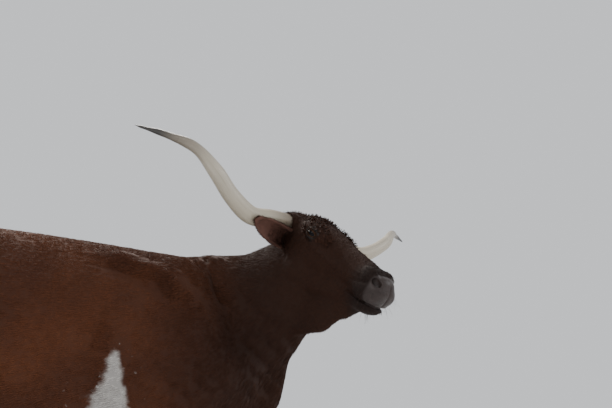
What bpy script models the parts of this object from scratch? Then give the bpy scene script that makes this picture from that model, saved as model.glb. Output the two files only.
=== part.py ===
"""A standing Texas longhorn steer, life size, as a still museum model.

The frame is in metres: +X runs forward along the body, +Y to the animal's left, +Z up. The floor is z = 0
and the origin is the middle of the model's bounding box, on the floor. The body is modelled in a frame of
its own with x = 0 under the withers, and is moved to the origin at the end. The neck bends to the right, so
the face looks over the right shoulder, and the horns lie level across it.
"""

import math

import bmesh
import bpy
from mathutils import Matrix, Vector

# Clearance between touching pieces, and the way from the modelling frame to the origin
GAP = 0.0003
ORIGIN_SHIFT = Vector((0.0745, 0.1545, 0.0))

# The head: its own frame starts at the poll, x runs down the face, y to its left, z out of the forehead
POLL = Vector((0.566, -0.258, 1.517))
HEAD_TURN = math.radians(-67.0)
HEAD_NOD = math.radians(34.7)
HEAD_TILT = math.radians(-3.0)
EYE_RADIUS = 0.0245
EYE_PLACE = Vector((0.176, 0.0865, -0.043))
EYE_AIM = Vector((0.34, 0.92, 0.10)).normalized()

# Grid sizes, rounds of smoothing and triangle budgets of the fused flesh
BODY_VOXEL = 0.012
HEAD_VOXEL = 0.0045
BODY_TRIANGLES = 5000
HEAD_TRIANGLES = 3700
HEAD_FUSE_VOXEL = 0.006
HEAD_MARGIN = 0.04
BODY_ROUNDS = 24
HEAD_ROUNDS = 12
LAST_ROUNDS = 3

# Stance of each leg: how far the foot stands forward of its usual place
FORE_STEP = {"right": 0.035, "left": -0.03}
HIND_STEP = {"right": -0.04, "left": 0.05}

COLOURS = {
    "hide": (0.095, 0.036, 0.020),
    "dark_hide": (0.045, 0.020, 0.014),
    "ear_skin": (0.060, 0.026, 0.018),
    "horn": (0.42, 0.36, 0.27),
    "eye": (0.012, 0.008, 0.006),
    "hoof": (0.050, 0.042, 0.036),
    "switch": (0.050, 0.026, 0.018),
}
SIDES = {"left": 1.0, "right": -1.0}


def head_matrix():
    turn = Matrix.Rotation(HEAD_TURN, 4, "Z")
    nod = Matrix.Rotation(HEAD_NOD, 4, "Y")
    tilt = Matrix.Rotation(HEAD_TILT, 4, "X")
    return Matrix.Translation(POLL) @ turn @ nod @ tilt


HEAD = head_matrix()


def mirrored(point, side):
    return Vector((point[0], point[1] * side, point[2]))


def material(name, roughness=0.7):
    found = bpy.data.materials.get(name)
    if found:
        return found
    made = bpy.data.materials.new(name)
    made.use_nodes = True
    shader = made.node_tree.nodes["Principled BSDF"]
    shader.inputs["Base Color"].default_value = (*COLOURS[name], 1.0)
    shader.inputs["Roughness"].default_value = roughness
    shader.inputs["Metallic"].default_value = 0.0
    made.diffuse_color = (*COLOURS[name], 1.0)
    return made


def new_object(name, mesh):
    made = bpy.data.objects.new(name, mesh)
    bpy.context.scene.collection.objects.link(made)
    return made


def mesh_object(name, bm):
    mesh = bpy.data.meshes.new(name)
    bm.to_mesh(mesh)
    bm.free()
    return new_object(name, mesh)


def drop(*objects):
    for old in objects:
        bpy.data.objects.remove(old)


def evaluated_mesh(obj):
    bpy.context.view_layer.update()
    graph = bpy.context.evaluated_depsgraph_get()
    return bpy.data.meshes.new_from_object(obj.evaluated_get(graph))


def apply_modifiers(obj):
    mesh = evaluated_mesh(obj)
    obj.modifiers.clear()
    obj.data = mesh
    return obj


def oval(centre, along, up, half_width, above, below, squareness=2.0, lean=0.0, count=20):
    """Points of a cross-section: an oval that may be squarish, uneven, and wider at one end."""
    across = up.cross(along).normalized()
    rise = along.cross(across).normalized()
    points = []
    for k in range(count):
        angle = 2 * math.pi * k / count
        c, s = math.cos(angle), math.sin(angle)
        wide = math.copysign(abs(c) ** (2 / squareness), c) * half_width * (1 + lean * s)
        tall = math.copysign(abs(s) ** (2 / squareness), s) * (above if s > 0 else below)
        points.append(centre + across * wide + rise * tall)
    return points


def skin_rings(name, rings):
    """A closed loft through rings of points, with flat caps."""
    bm = bmesh.new()
    loops = [[bm.verts.new(p) for p in ring] for ring in rings]
    count = len(loops[0])
    for near, far in zip(loops, loops[1:]):
        for k in range(count):
            n = (k + 1) % count
            bm.faces.new((near[k], near[n], far[n], far[k]))
    bm.faces.new(list(reversed(loops[0])))
    bm.faces.new(loops[-1])
    bmesh.ops.recalc_face_normals(bm, faces=bm.faces)
    return mesh_object(name, bm)


def loft(name, stations, up, count=20):
    """A form along a line of stations: (centre, half_width, above, below, squareness, lean)."""
    centres = [Vector(s[0]) for s in stations]
    rings = []
    for k, station in enumerate(stations):
        ahead = centres[min(k + 1, len(centres) - 1)]
        behind = centres[max(k - 1, 0)]
        along = (ahead - behind).normalized()
        rings.append(oval(centres[k], along, up, *station[1:], count=count))
    return skin_rings(name, rings)


def blob(name, centre, radii, turn=(0.0, 0.0, 0.0), rings=14):
    """A muscle or bone swelling: an ellipsoid turned by three angles in degrees."""
    bm = bmesh.new()
    bmesh.ops.create_uvsphere(bm, u_segments=rings * 2, v_segments=rings, radius=1.0)
    spin = Matrix.Rotation(math.radians(turn[2]), 4, "Z")
    spin = spin @ Matrix.Rotation(math.radians(turn[1]), 4, "Y")
    spin = spin @ Matrix.Rotation(math.radians(turn[0]), 4, "X")
    place = Matrix.Translation(Vector(centre)) @ spin @ Matrix.Diagonal((*radii, 1.0))
    bmesh.ops.transform(bm, matrix=place, verts=bm.verts)
    return mesh_object(name, bm)


def box(name, low, high, place=None):
    low, high = Vector(low), Vector(high)
    bm = bmesh.new()
    bmesh.ops.create_cube(bm, size=1.0)
    middle = Matrix.Translation((low + high) / 2)
    bmesh.ops.transform(bm, matrix=middle @ Matrix.Diagonal((*(high - low), 1.0)), verts=bm.verts)
    if place is not None:
        bmesh.ops.transform(bm, matrix=place, verts=bm.verts)
    return mesh_object(name, bm)


def smooth_line(points, per_span=6):
    """Points on a smooth curve through the given ones."""
    points = [Vector(p) for p in points]
    padded = [2 * points[0] - points[1], *points, 2 * points[-1] - points[-2]]
    line = []
    for k in range(1, len(padded) - 2):
        p0, p1, p2, p3 = padded[k - 1 : k + 3]
        for step in range(per_span):
            t = step / per_span
            line.append(
                0.5 * (2 * p1 + (p2 - p0) * t + (2 * p0 - 5 * p1 + 4 * p2 - p3) * t * t
                       + (3 * p1 - p0 - 3 * p2 + p3) * t * t * t)
            )
    line.append(points[-1])
    return line


def level(value, stops):
    """Reads a value between stops (place, size), eased so that the form has no kinks."""
    if value <= stops[0][0]:
        return stops[0][1]
    for (a, x), (b, y) in zip(stops, stops[1:]):
        if value <= b:
            t = (value - a) / (b - a)
            t = t * t * (3 - 2 * t)
            return x + (y - x) * t
    return stops[-1][1]


def fuse(name, pieces, voxel):
    """Joins overlapping forms into one skin."""
    bm = bmesh.new()
    for piece in pieces:
        bm.from_mesh(piece.data)
    drop(*pieces)
    fused = mesh_object(name, bm)
    remesh = fused.modifiers.new("Remesh", "REMESH")
    remesh.mode = "VOXEL"
    remesh.voxel_size = voxel
    return apply_modifiers(fused)


def soften(obj, rounds, weight):
    """Smooths a skin where weight(point) says it is flesh that should flow."""
    group = obj.vertex_groups.new(name="flesh")
    for v in obj.data.vertices:
        amount = weight(v.co)
        if amount > 0.0:
            group.add([v.index], amount, "REPLACE")
    flow = obj.modifiers.new("Smooth", "SMOOTH")
    flow.factor = 0.5
    flow.iterations = rounds
    flow.vertex_group = "flesh"
    apply_modifiers(obj)
    obj.vertex_groups.clear()


def thin(obj, triangles):
    """Thins a skin to a triangle budget."""
    count = sum(len(face.vertices) - 2 for face in obj.data.polygons)
    fewer = obj.modifiers.new("Decimate", "DECIMATE")
    fewer.ratio = triangles / count
    return apply_modifiers(obj)


def boolean(obj, other, operation, solver="EXACT"):
    change = obj.modifiers.new("Boolean", "BOOLEAN")
    change.operation = operation
    change.solver = solver
    change.object = other
    return apply_modifiers(obj)


def duplicate(obj, name):
    return new_object(name, obj.data.copy())


def puffed(obj, gap=GAP):
    """A copy a hair larger, to cut the clearance that touching pieces keep."""
    made = duplicate(obj, obj.name + "_clear")
    bm = bmesh.new()
    bm.from_mesh(made.data)
    bm.normal_update()
    moves = [(v, v.normal * gap) for v in bm.verts]
    for v, move in moves:
        v.co += move
    bm.to_mesh(made.data)
    bm.free()
    return made


def keep_largest(obj):
    """Keeps the largest closed surface, which drops scraps and sealed hollows."""
    bm = bmesh.new()
    bm.from_mesh(obj.data)
    bmesh.ops.triangulate(bm, faces=bm.faces)
    left = set(bm.verts)
    shells = []
    while left:
        seed = left.pop()
        shell, edge = {seed}, [seed]
        while edge:
            v = edge.pop()
            for e in v.link_edges:
                w = e.other_vert(v)
                if w in left:
                    left.discard(w)
                    shell.add(w)
                    edge.append(w)
        shells.append(shell)

    def extent(shell):
        return max(v.co.x for v in shell) - min(v.co.x for v in shell) + \
            max(v.co.z for v in shell) - min(v.co.z for v in shell) + 1e-4 * len(shell)

    best = max(shells, key=extent)
    bmesh.ops.delete(bm, geom=[v for v in bm.verts if v not in best], context="VERTS")
    bm.to_mesh(obj.data)
    bm.free()
    return obj


def split_off(whole, name, region_low, region_high, place=None):
    """Parts a body with a thin cut: returns the piece inside a box, and leaves the rest in whole."""
    piece = duplicate(whole, name)
    inner = box("inner_region", region_low, region_high, place)
    boolean(piece, inner, "INTERSECT")
    drop(inner)
    room = Vector((GAP, GAP, GAP))
    outer = box("outer_region", Vector(region_low) - room, Vector(region_high) + room, place)
    boolean(whole, outer, "DIFFERENCE")
    drop(outer)
    keep_largest(whole)
    return keep_largest(piece)


# The trunk: stations from the brisket to the rump, as
# x, top, bottom, half width, height of the widest line, squareness, lean
TRUNK = [
    (0.49, 1.02, 0.87, 0.055, 0.94, 2.0, 0.0),
    (0.445, 1.12, 0.79, 0.105, 0.94, 2.1, 0.0),
    (0.37, 1.22, 0.725, 0.150, 0.95, 2.1, 0.0),
    (0.26, 1.315, 0.690, 0.190, 0.96, 2.0, -0.05),
    (0.13, 1.370, 0.665, 0.218, 0.98, 1.9, -0.12),
    (0.00, 1.385, 0.67, 0.235, 0.99, 1.9, -0.14),
    (-0.18, 1.395, 0.670, 0.262, 0.99, 2.0, -0.12),
    (-0.38, 1.405, 0.658, 0.295, 0.98, 2.15, -0.10),
    (-0.58, 1.412, 0.660, 0.308, 0.99, 2.2, -0.08),
    (-0.78, 1.418, 0.700, 0.290, 1.02, 2.4, -0.05),
    (-0.92, 1.422, 0.765, 0.252, 1.08, 2.6, 0.0),
    (-1.05, 1.412, 0.84, 0.215, 1.12, 2.3, 0.0),
    (-1.15, 1.375, 0.92, 0.165, 1.15, 2.0, 0.0),
    (-1.24, 1.300, 1.00, 0.105, 1.16, 2.0, 0.0),
]

# The neck: centre x, y, z, half width, above, below
NECK = [
    (0.04, 0.0, 1.12, 0.165, 0.250, 0.31),
    (0.20, 0.0, 1.12, 0.160, 0.255, 0.31),
    (0.31, -0.015, 1.145, 0.140, 0.268, 0.30),
    (0.41, -0.060, 1.190, 0.122, 0.225, 0.27),
    (0.485, -0.125, 1.250, 0.108, 0.190, 0.222),
    (0.535, -0.190, 1.320, 0.100, 0.150, 0.186),
    (0.560, -0.235, 1.380, 0.092, 0.100, 0.130),
]

# The dewlap: centre x, y, z, half width, above, below
DEWLAP = [
    (0.545, -0.215, 1.130, 0.020, 0.07, 0.052),
    (0.498, -0.165, 1.075, 0.022, 0.09, 0.050),
    (0.502, -0.105, 1.000, 0.026, 0.11, 0.055),
    (0.499, -0.060, 0.912, 0.034, 0.12, 0.054),
    (0.491, -0.030, 0.835, 0.044, 0.12, 0.050),
    (0.430, -0.010, 0.768, 0.050, 0.12, 0.046),
    (0.325, 0.0, 0.732, 0.050, 0.09, 0.040),
    (0.210, 0.0, 0.712, 0.048, 0.06, 0.032),
]

# The skin that hangs under the jaw and throat, in the head's frame: x, z, half width, above, below
THROAT_SKIN = [
    (0.430, -0.163, 0.014, 0.030, 0.034),
    (0.380, -0.185, 0.018, 0.050, 0.064),
    (0.336, -0.206, 0.020, 0.060, 0.070),
    (0.290, -0.259, 0.022, 0.070, 0.082),
    (0.259, -0.291, 0.024, 0.080, 0.078),
    (0.211, -0.332, 0.024, 0.090, 0.066),
    (0.180, -0.378, 0.022, 0.090, 0.046),
]

# Legs: height, forward, outward, fore, aft, half width
FORE_LEG = [
    (1.06, 0.120, -0.045, 0.135, 0.130, 0.060),
    (0.98, 0.085, -0.020, 0.135, 0.135, 0.074),
    (0.88, 0.035, -0.004, 0.115, 0.130, 0.080),
    (0.80, 0.010, 0.0, 0.092, 0.112, 0.073),
    (0.70, 0.018, 0.0, 0.074, 0.082, 0.063),
    (0.60, 0.028, 0.0, 0.060, 0.063, 0.053),
    (0.50, 0.035, 0.0, 0.050, 0.048, 0.045),
    (0.445, 0.040, 0.0, 0.052, 0.046, 0.048),
    (0.405, 0.040, 0.0, 0.050, 0.046, 0.047),
    (0.360, 0.036, 0.0, 0.038, 0.042, 0.038),
    (0.290, 0.034, 0.0, 0.031, 0.036, 0.032),
    (0.205, 0.034, 0.0, 0.030, 0.037, 0.032),
    (0.155, 0.038, 0.0, 0.038, 0.046, 0.040),
    (0.115, 0.054, 0.0, 0.034, 0.038, 0.039),
    (0.085, 0.069, 0.0, 0.038, 0.040, 0.046),
    (0.066, 0.074, 0.0, 0.041, 0.042, 0.050),
]
HIND_LEG = [
    (1.27, 0.010, -0.045, 0.150, 0.130, 0.065),
    (1.15, 0.000, -0.010, 0.195, 0.175, 0.100),
    (1.00, 0.030, 0.010, 0.205, 0.225, 0.106),
    (0.88, 0.050, 0.016, 0.175, 0.225, 0.098),
    (0.78, 0.030, 0.014, 0.130, 0.185, 0.083),
    (0.70, -0.015, 0.010, 0.096, 0.135, 0.067),
    (0.62, -0.070, 0.006, 0.068, 0.090, 0.053),
    (0.565, -0.108, 0.003, 0.055, 0.070, 0.047),
    (0.500, -0.116, 0.0, 0.052, 0.052, 0.045),
    (0.440, -0.108, 0.0, 0.042, 0.041, 0.038),
    (0.340, -0.095, 0.0, 0.033, 0.037, 0.032),
    (0.220, -0.080, 0.0, 0.032, 0.037, 0.031),
    (0.155, -0.072, 0.0, 0.039, 0.046, 0.039),
    (0.115, -0.054, 0.0, 0.034, 0.038, 0.038),
    (0.085, -0.038, 0.0, 0.038, 0.040, 0.046),
    (0.066, -0.032, 0.0, 0.041, 0.042, 0.050),
]
FORE_PLACE = Vector((0.120, 0.150, 0.0))
HIND_PLACE = Vector((-1.050, 0.135, 0.0))
HIP_HEIGHT = {"fore": 0.86, "hind": 0.98}
CORONET_HEIGHT = FORE_LEG[-1][0]


def foot_shift(height, step, hip):
    """A leg that steps leans from its hip: the foot moves by the whole step, the hip not at all."""
    return step * max(0.0, 1.0 - height / hip)


def limb(name, table, place, side, step, hip):
    stations = []
    for height, forward, outward, fore, aft, half in table:
        x = place.x + forward + foot_shift(height, step, hip)
        y = (place.y + outward) * side
        stations.append(((x, y, height), half, fore, aft, 2.1, 0.0))
    return loft(name, stations, Vector((1, 0, 0)), count=16)


def trunk_forms():
    stations = [
        ((x, 0.0, middle), half, top - middle, middle - bottom, square, lean)
        for x, top, bottom, half, middle, square, lean in TRUNK
    ]
    return [loft("trunk", stations, Vector((0, 0, 1)), count=32)]


def neck_forms():
    stations = [((x, y, z), half, above, below, 2.0, 0.0) for x, y, z, half, above, below in NECK]
    fold = [((x, y, z), half, above, below, 1.8, 0.0) for x, y, z, half, above, below in DEWLAP]
    neck = loft("neck", stations, Vector((0, 0, 1)), count=24)
    return [neck, loft("dewlap", fold, Vector((-0.7, 0.2, 0.7)), count=14)]


def shoulder_forms(side):
    """Shoulder blade, its ridge, the point of the shoulder and the upper arm."""
    y = side
    return [
        blob("blade", (0.160, 0.142 * y, 1.12), (0.120, 0.078, 0.240), (10 * y, -22, 0)),
        blob("blade_crest", (0.085, 0.095 * y, 1.275), (0.085, 0.062, 0.085), (24 * y, -20, 0)),
        blob("shoulder_point", (0.355, 0.125 * y, 0.955), (0.085, 0.075, 0.105), (0, -10, 0)),
        blob("upper_arm", (0.230, 0.160 * y, 0.90), (0.160, 0.076, 0.095), (0, -28, 0)),
        blob("elbow", (0.020, 0.165 * y, 0.79), (0.060, 0.046, 0.065)),
    ]


HOCK_PLACE = (-1.225, 0.138, 0.585)


def rump_forms(side):
    """Hook and pin bones, thigh, stifle and flank fold."""
    y = side
    hock = HOCK_PLACE[0] + foot_shift(HOCK_PLACE[2], step_of("hind", side), HIP_HEIGHT["hind"])
    return [
        blob("hook", (-0.905, 0.150 * y, 1.315), (0.120, 0.074, 0.066), (0, 4, 20 * y)),
        blob("loin_edge", (-0.700, 0.135 * y, 1.335), (0.200, 0.070, 0.050), (0, 2, 6 * y)),
        blob("rump_side", (-1.060, 0.110 * y, 1.300), (0.160, 0.070, 0.070), (0, 18, -16 * y)),
        blob("pin", (-1.222, 0.070 * y, 1.235), (0.064, 0.050, 0.072)),
        blob("thurl", (-1.08, 0.135 * y, 1.18), (0.150, 0.080, 0.150)),
        blob("ham", (-1.168, 0.108 * y, 1.06), (0.100, 0.090, 0.200), (0, 8, 0)),
        blob("stifle", (-0.890, 0.175 * y, 0.850), (0.085, 0.066, 0.105)),
        blob("flank_fold", (-0.830, 0.175 * y, 0.86), (0.130, 0.036, 0.130), (0, 40, 0)),
        blob("hock_point", (hock, HOCK_PLACE[1] * y, HOCK_PLACE[2]), (0.026, 0.026, 0.042)),
    ]


def step_of(end, side):
    steps = FORE_STEP if end == "fore" else HIND_STEP
    return steps["left" if side > 0 else "right"]


def body_forms():
    forms = trunk_forms() + neck_forms()
    for side in SIDES.values():
        forms += shoulder_forms(side) + rump_forms(side)
        forms.append(limb("foreleg", FORE_LEG, FORE_PLACE, side, step_of("fore", side), HIP_HEIGHT["fore"]))
        forms.append(limb("hindleg", HIND_LEG, HIND_PLACE, side, step_of("hind", side), HIP_HEIGHT["hind"]))
    forms.append(blob("sheath", (-0.52, 0.0, 0.660), (0.13, 0.035, 0.040)))
    forms.append(blob("tail_head", (-1.17, 0.0, 1.355), (0.10, 0.040, 0.040), (0, -22, 0)))
    return forms


# The upper head: x down the face, half width, top, bottom, lean
SKULL = [
    (-0.048, 0.066, -0.024, -0.120, 0.0),
    (-0.024, 0.086, -0.004, -0.150, 0.05),
    (0.015, 0.092, 0.002, -0.172, 0.08),
    (0.060, 0.093, 0.015, -0.188, 0.10),
    (0.105, 0.095, 0.017, -0.195, 0.12),
    (0.150, 0.096, 0.011, -0.192, 0.14),
    (0.195, 0.086, 0.003, -0.182, 0.14),
    (0.245, 0.072, -0.007, -0.168, 0.10),
    (0.300, 0.060, -0.019, -0.155, 0.05),
    (0.355, 0.056, -0.026, -0.147, 0.0),
    (0.400, 0.058, -0.031, -0.145, -0.08),
    (0.438, 0.063, -0.039, -0.145, -0.14),
    (0.466, 0.065, -0.052, -0.147, -0.16),
    (0.490, 0.059, -0.068, -0.148, -0.12),
    (0.508, 0.048, -0.084, -0.146, 0.0),
    (0.519, 0.031, -0.098, -0.137, 0.0),
]

# The lower jaw: x, half width, top, bottom
JAW = [
    (0.015, 0.050, -0.120, -0.200),
    (0.055, 0.070, -0.120, -0.246),
    (0.110, 0.070, -0.120, -0.265),
    (0.165, 0.062, -0.120, -0.257),
    (0.230, 0.052, -0.120, -0.236),
    (0.295, 0.045, -0.120, -0.216),
    (0.355, 0.042, -0.122, -0.201),
    (0.400, 0.043, -0.125, -0.193),
    (0.438, 0.046, -0.128, -0.190),
    (0.466, 0.046, -0.130, -0.187),
    (0.488, 0.039, -0.132, -0.178),
    (0.504, 0.025, -0.136, -0.163),
]


def head_loft(name, table, count=24):
    stations = []
    for x, half, top, bottom, *lean in table:
        middle = (top + bottom) / 2
        tilt = lean[0] if lean else 0.0
        stations.append(((x, 0.0, middle), half, top - middle, middle - bottom, 2.3, tilt))
    return loft(name, stations, Vector((0, 0, 1)), count=count)


def eye_point(side, swing, lift, radius):
    """A point round the eyeball: swing goes forward from its aim, lift goes up, in degrees."""
    aim = mirrored(EYE_AIM, side)
    up = Vector((0, 0, 1))
    forward = up.cross(aim).normalized() * side * -1.0
    if forward.x < 0:
        forward = -forward
    rise = (up - aim * up.dot(aim)).normalized()
    a, e = math.radians(swing), math.radians(lift)
    way = aim * (math.cos(a) * math.cos(e)) + forward * (math.sin(a) * math.cos(e)) + rise * math.sin(e)
    return mirrored(EYE_PLACE, side) + way * radius


def lid(name, side, height, thickness):
    """A lid: a slim roll that lies over the eyeball from its front corner to its back one."""
    steps = 12
    stations = []
    for k in range(steps + 1):
        t = k / steps
        point = eye_point(side, 60 - 120 * t, height * math.sin(math.pi * t) - 3, EYE_RADIUS + 0.0012)
        stations.append((point, thickness, thickness, thickness, 2.0, 0.0))
    return loft(name, stations, mirrored(EYE_AIM, side), count=8)


def to_head(forms):
    for form in forms:
        form.data.transform(HEAD)
    return forms


def head_forms():
    """The broad forms of the head, which flow into each other."""
    skin = [((x, 0.0, z), half, above, below, 1.8, 0.0) for x, z, half, above, below in THROAT_SKIN]
    throat = loft("throat_skin", skin, Vector((-0.6, 0, 0.8)), 14)
    forms = [head_loft("skull", SKULL), head_loft("jaw", JAW), throat]
    for y in SIDES.values():
        forms += [
            blob("cheek", (0.112, 0.050 * y, -0.165), (0.085, 0.040, 0.085), (5 * y, 20, 0)),
            blob("brow", (0.168, 0.077 * y, -0.025), (0.070, 0.030, 0.018), (-14 * y, 6, -14 * y)),
            blob("cheekbone", (0.205, 0.064 * y, -0.085), (0.100, 0.026, 0.022), (0, 14, -16 * y)),
            blob("socket_rim", (0.174, 0.079 * y, -0.050), (0.060, 0.024, 0.044), (0, 0, -8 * y)),
            blob("nose_wing", (0.452, 0.040 * y, -0.070), (0.038, 0.024, 0.032), (0, 30, -10 * y)),
            blob("lip_side", (0.455, 0.042 * y, -0.122), (0.052, 0.026, 0.024), (0, 6, -8 * y)),
            blob("horn_boss", (0.018, 0.074 * y, -0.042), (0.050, 0.040, 0.044)),
        ]
    forms.append(blob("poll_knob", (-0.006, 0.0, -0.020), (0.050, 0.076, 0.026)))
    forms.append(blob("nose_pad", (0.480, 0.0, -0.090), (0.032, 0.046, 0.042), (0, 30, 0)))
    forms.append(blob("throat", (0.110, 0.0, -0.270), (0.120, 0.042, 0.070), (0, 24, 0)))
    return to_head(forms)


def eye_opening(side):
    """The almond between the lids, as a cutter."""
    aim = mirrored(EYE_AIM, side)
    made = blob("opening", (0, 0, 0), (0.0215, 0.030, 0.0145), rings=10)
    frame = aim.to_track_quat("Y", "Z").to_matrix().to_4x4()
    made.data.transform(Matrix.Translation(mirrored(EYE_PLACE, side) + aim * 0.026) @ frame)
    return to_head([made])[0]


def face_details():
    """Lids, added after the broad forms are smoothed."""
    return to_head([lid("lid", y, height, 0.0042) for y in SIDES.values() for height in (44, -40)])


# The line of the mouth, in the head's frame: its height, where it ends, and the size of its groove
MOUTH_HEIGHT = -0.149
MOUTH_CORNER = 0.385
MOUTH_WIDTH = 0.007
MOUTH_DEPTH = 0.009


def press_mouth(obj):
    """Presses the line of the mouth into the skin between the lips."""
    bm = bmesh.new()
    bm.from_mesh(obj.data)
    bm.normal_update()
    into_head = HEAD.inverted()
    moves = []
    for v in bm.verts:
        place = into_head @ v.co
        near = 1.0 - abs(place.z - MOUTH_HEIGHT) / MOUTH_WIDTH
        ahead = min((place.x - MOUTH_CORNER) / 0.03, 1.0)
        if near > 0.0 and ahead > 0.0:
            moves.append((v, v.normal * (MOUTH_DEPTH * near * ahead)))
    for v, move in moves:
        v.co -= move
    bm.to_mesh(obj.data)
    bm.free()


# The right horn's centre line in the head's frame, and its radius along it
HORN_LINE = [
    (0.018, -0.055, -0.058),
    (0.025, -0.105, -0.056),
    (0.045, -0.190, -0.060),
    (0.064, -0.288, -0.071),
    (0.050, -0.380, -0.035),
    (0.026, -0.463, 0.021),
    (-0.025, -0.535, 0.061),
    (-0.070, -0.622, 0.060),
    (-0.093, -0.720, 0.047),
]
HORN_RADIUS = [(0.0, 0.0330), (0.15, 0.0320), (0.32, 0.0325), (0.55, 0.0275), (0.74, 0.0185), (0.88, 0.0105),
               (0.97, 0.0045), (1.0, 0.0012)]


def horn(name, side):
    line = smooth_line([mirrored((p[0], -p[1], p[2]), side) for p in HORN_LINE], per_span=3)
    total = len(line) - 1
    stations = []
    for k, point in enumerate(line):
        radius = level(k / total, HORN_RADIUS)
        stations.append((point, radius, radius, radius * 0.94, 2.0, 0.0))
    made = loft(name, stations, Vector((1, 0, 0.3)), count=11)
    made.data.transform(HEAD)
    return made


EAR_LENGTH = 0.232
EAR_WIDTH = [(0.0, 0.031), (0.18, 0.039), (0.45, 0.040), (0.72, 0.034), (0.90, 0.022), (1.0, 0.007)]
EAR_CUP = [(0.0, 200.0), (0.25, 150.0), (0.55, 110.0), (1.0, 70.0)]
EAR_ROOT = Vector((0.034, 0.082, -0.110))
EAR_WAY = Vector((0.40, 0.90, 0.15)).normalized()
EAR_MOUTH = Vector((0.99, 0.09, -0.06)).normalized()
EAR_THICKNESS = 0.0055


def ear(name, side):
    """A leaf-shaped cup: an open curved sheet, thickened, with its mouth to the front."""
    way = mirrored(EAR_WAY, side)
    mouth = mirrored(EAR_MOUTH, side)
    mouth = (mouth - way * mouth.dot(way)).normalized()
    across = way.cross(mouth) * side
    rows, columns = 7, 7
    bm = bmesh.new()
    grid = []
    for i in range(rows + 1):
        t = i / rows
        half = level(t, EAR_WIDTH)
        span = math.radians(level(t, EAR_CUP))
        radius = half / math.sin(min(span, math.pi) / 2)
        sag = mouth * (0.02 * math.sin(math.pi * t) - 0.012 * t)
        middle = mirrored(EAR_ROOT, side) + way * (EAR_LENGTH * t) + sag
        row = []
        for j in range(columns + 1):
            angle = span * (j / columns - 0.5)
            rise = radius * (1 - math.cos(angle)) - radius * 0.35
            offset = across * (math.sin(angle) * radius) + mouth * rise
            row.append(bm.verts.new(middle + offset))
        grid.append(row)
    for near, far in zip(grid, grid[1:]):
        for j in range(columns):
            bm.faces.new((near[j], near[j + 1], far[j + 1], far[j]))
    bmesh.ops.recalc_face_normals(bm, faces=bm.faces)
    made = mesh_object(name, bm)
    wall = made.modifiers.new("Solidify", "SOLIDIFY")
    wall.thickness = EAR_THICKNESS
    wall.offset = 0.0
    apply_modifiers(made)
    made.data.transform(HEAD)
    return made


def eye(name, side):
    made = blob(name, mirrored(EYE_PLACE, side), (EYE_RADIUS,) * 3, rings=8)
    made.data.transform(HEAD)
    return made


# One claw of a cloven hoof, level by level: height, forward shift, length, width
CLAW_LEVELS = [(0.0, 0.012, 0.130, 0.054), (0.020, 0.009, 0.124, 0.053), (0.045, 0.002, 0.110, 0.050),
               (0.070, -0.008, 0.090, 0.045)]
CLAW_GAP = 0.003
CLAW_COUNT = 12
DEWCLAW_SPREAD = 0.022
DEWCLAW_PLACE = (-0.058, 0.135)


def claw(name, centre, side, inner):
    """A wedge of horn with a flat sole, a straight wall at the cleft and a toe that turns in."""
    away = -side if inner else side
    rings = []
    for height, shift, length, width in CLAW_LEVELS:
        ring = []
        for k in range(CLAW_COUNT):
            angle = 2 * math.pi * k / CLAW_COUNT
            c, s = math.cos(angle), math.sin(angle)
            forward = c * length / 2 * (1.0 if c > 0 else 0.92)
            outward = width / 2 + s * width / 2 * (1.0 - 0.32 * max(c, 0.0) ** 2)
            outward -= 0.10 * width * max(c, 0.0) ** 2
            outward = max(outward, 0.0) + CLAW_GAP / 2
            ring.append(Vector((centre.x + shift + forward, centre.y + away * outward, height)))
        rings.append(ring if away > 0 else list(reversed(ring)))
    return skin_rings(name, rings)


def dewclaw(name, centre, side, inner):
    away = -side if inner else side
    place = (centre.x, centre.y + away * DEWCLAW_SPREAD, centre.z)
    return blob(name, place, (0.017, 0.013, 0.020), (0, -20, 0), rings=4)


TAIL_LINE = [
    (-1.150, 0.0, 1.345),
    (-1.215, 0.0, 1.335),
    (-1.282, 0.0, 1.275),
    (-1.312, 0.0, 1.15),
    (-1.320, 0.003, 1.00),
    (-1.322, 0.008, 0.85),
    (-1.318, 0.012, 0.70),
    (-1.322, 0.014, 0.60),
]
TAIL_RADIUS = [(0.0, 0.040), (0.15, 0.037), (0.35, 0.027), (0.6, 0.020), (1.0, 0.014)]
SWITCH_TOP = 0.70

# The switch's core, from its top down, its locks, and their rows: drop, count, length, spread
SWITCH_CORE_STEPS = 10
SWITCH_CORE_STEP = 0.02
SWITCH_CORE_RADIUS = 0.0155
SWITCH_CORE_TAPER = 0.0011
LOCK_WIDTH = 0.0135
LOCK_THICKNESS = 0.0055
SWITCH_ROWS = [(0.030, 4, 0.210, 0.017), (0.095, 5, 0.250, 0.020), (0.165, 4, 0.255, 0.015)]


def tail_tube(name):
    line = smooth_line(TAIL_LINE, per_span=3)
    total = len(line) - 1
    stations = [(p, *(level(k / total, TAIL_RADIUS),) * 3, 2.0, 0.0) for k, p in enumerate(line)]
    return loft(name, stations, Vector((0, 1, 0)), count=8)


def lock(name, root, tip, bow, width, thickness, turn):
    """A flat, tapered lock of hair that bows on its way from root to tip."""
    root, tip = Vector(root), Vector(tip)
    steps = 3
    face = Vector((math.cos(turn), math.sin(turn), 0.0))
    stations = []
    for k in range(steps + 1):
        t = k / steps
        point = root.lerp(tip, t) + Vector(bow) * math.sin(math.pi * t)
        size = level(t, [(0.0, 0.75), (0.34, 1.0), (0.67, 0.72), (1.0, 0.10)])
        stations.append((point, width * size, thickness * size, thickness * size, 2.0, 0.0))
    return loft(name, stations, face, count=5)


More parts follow.
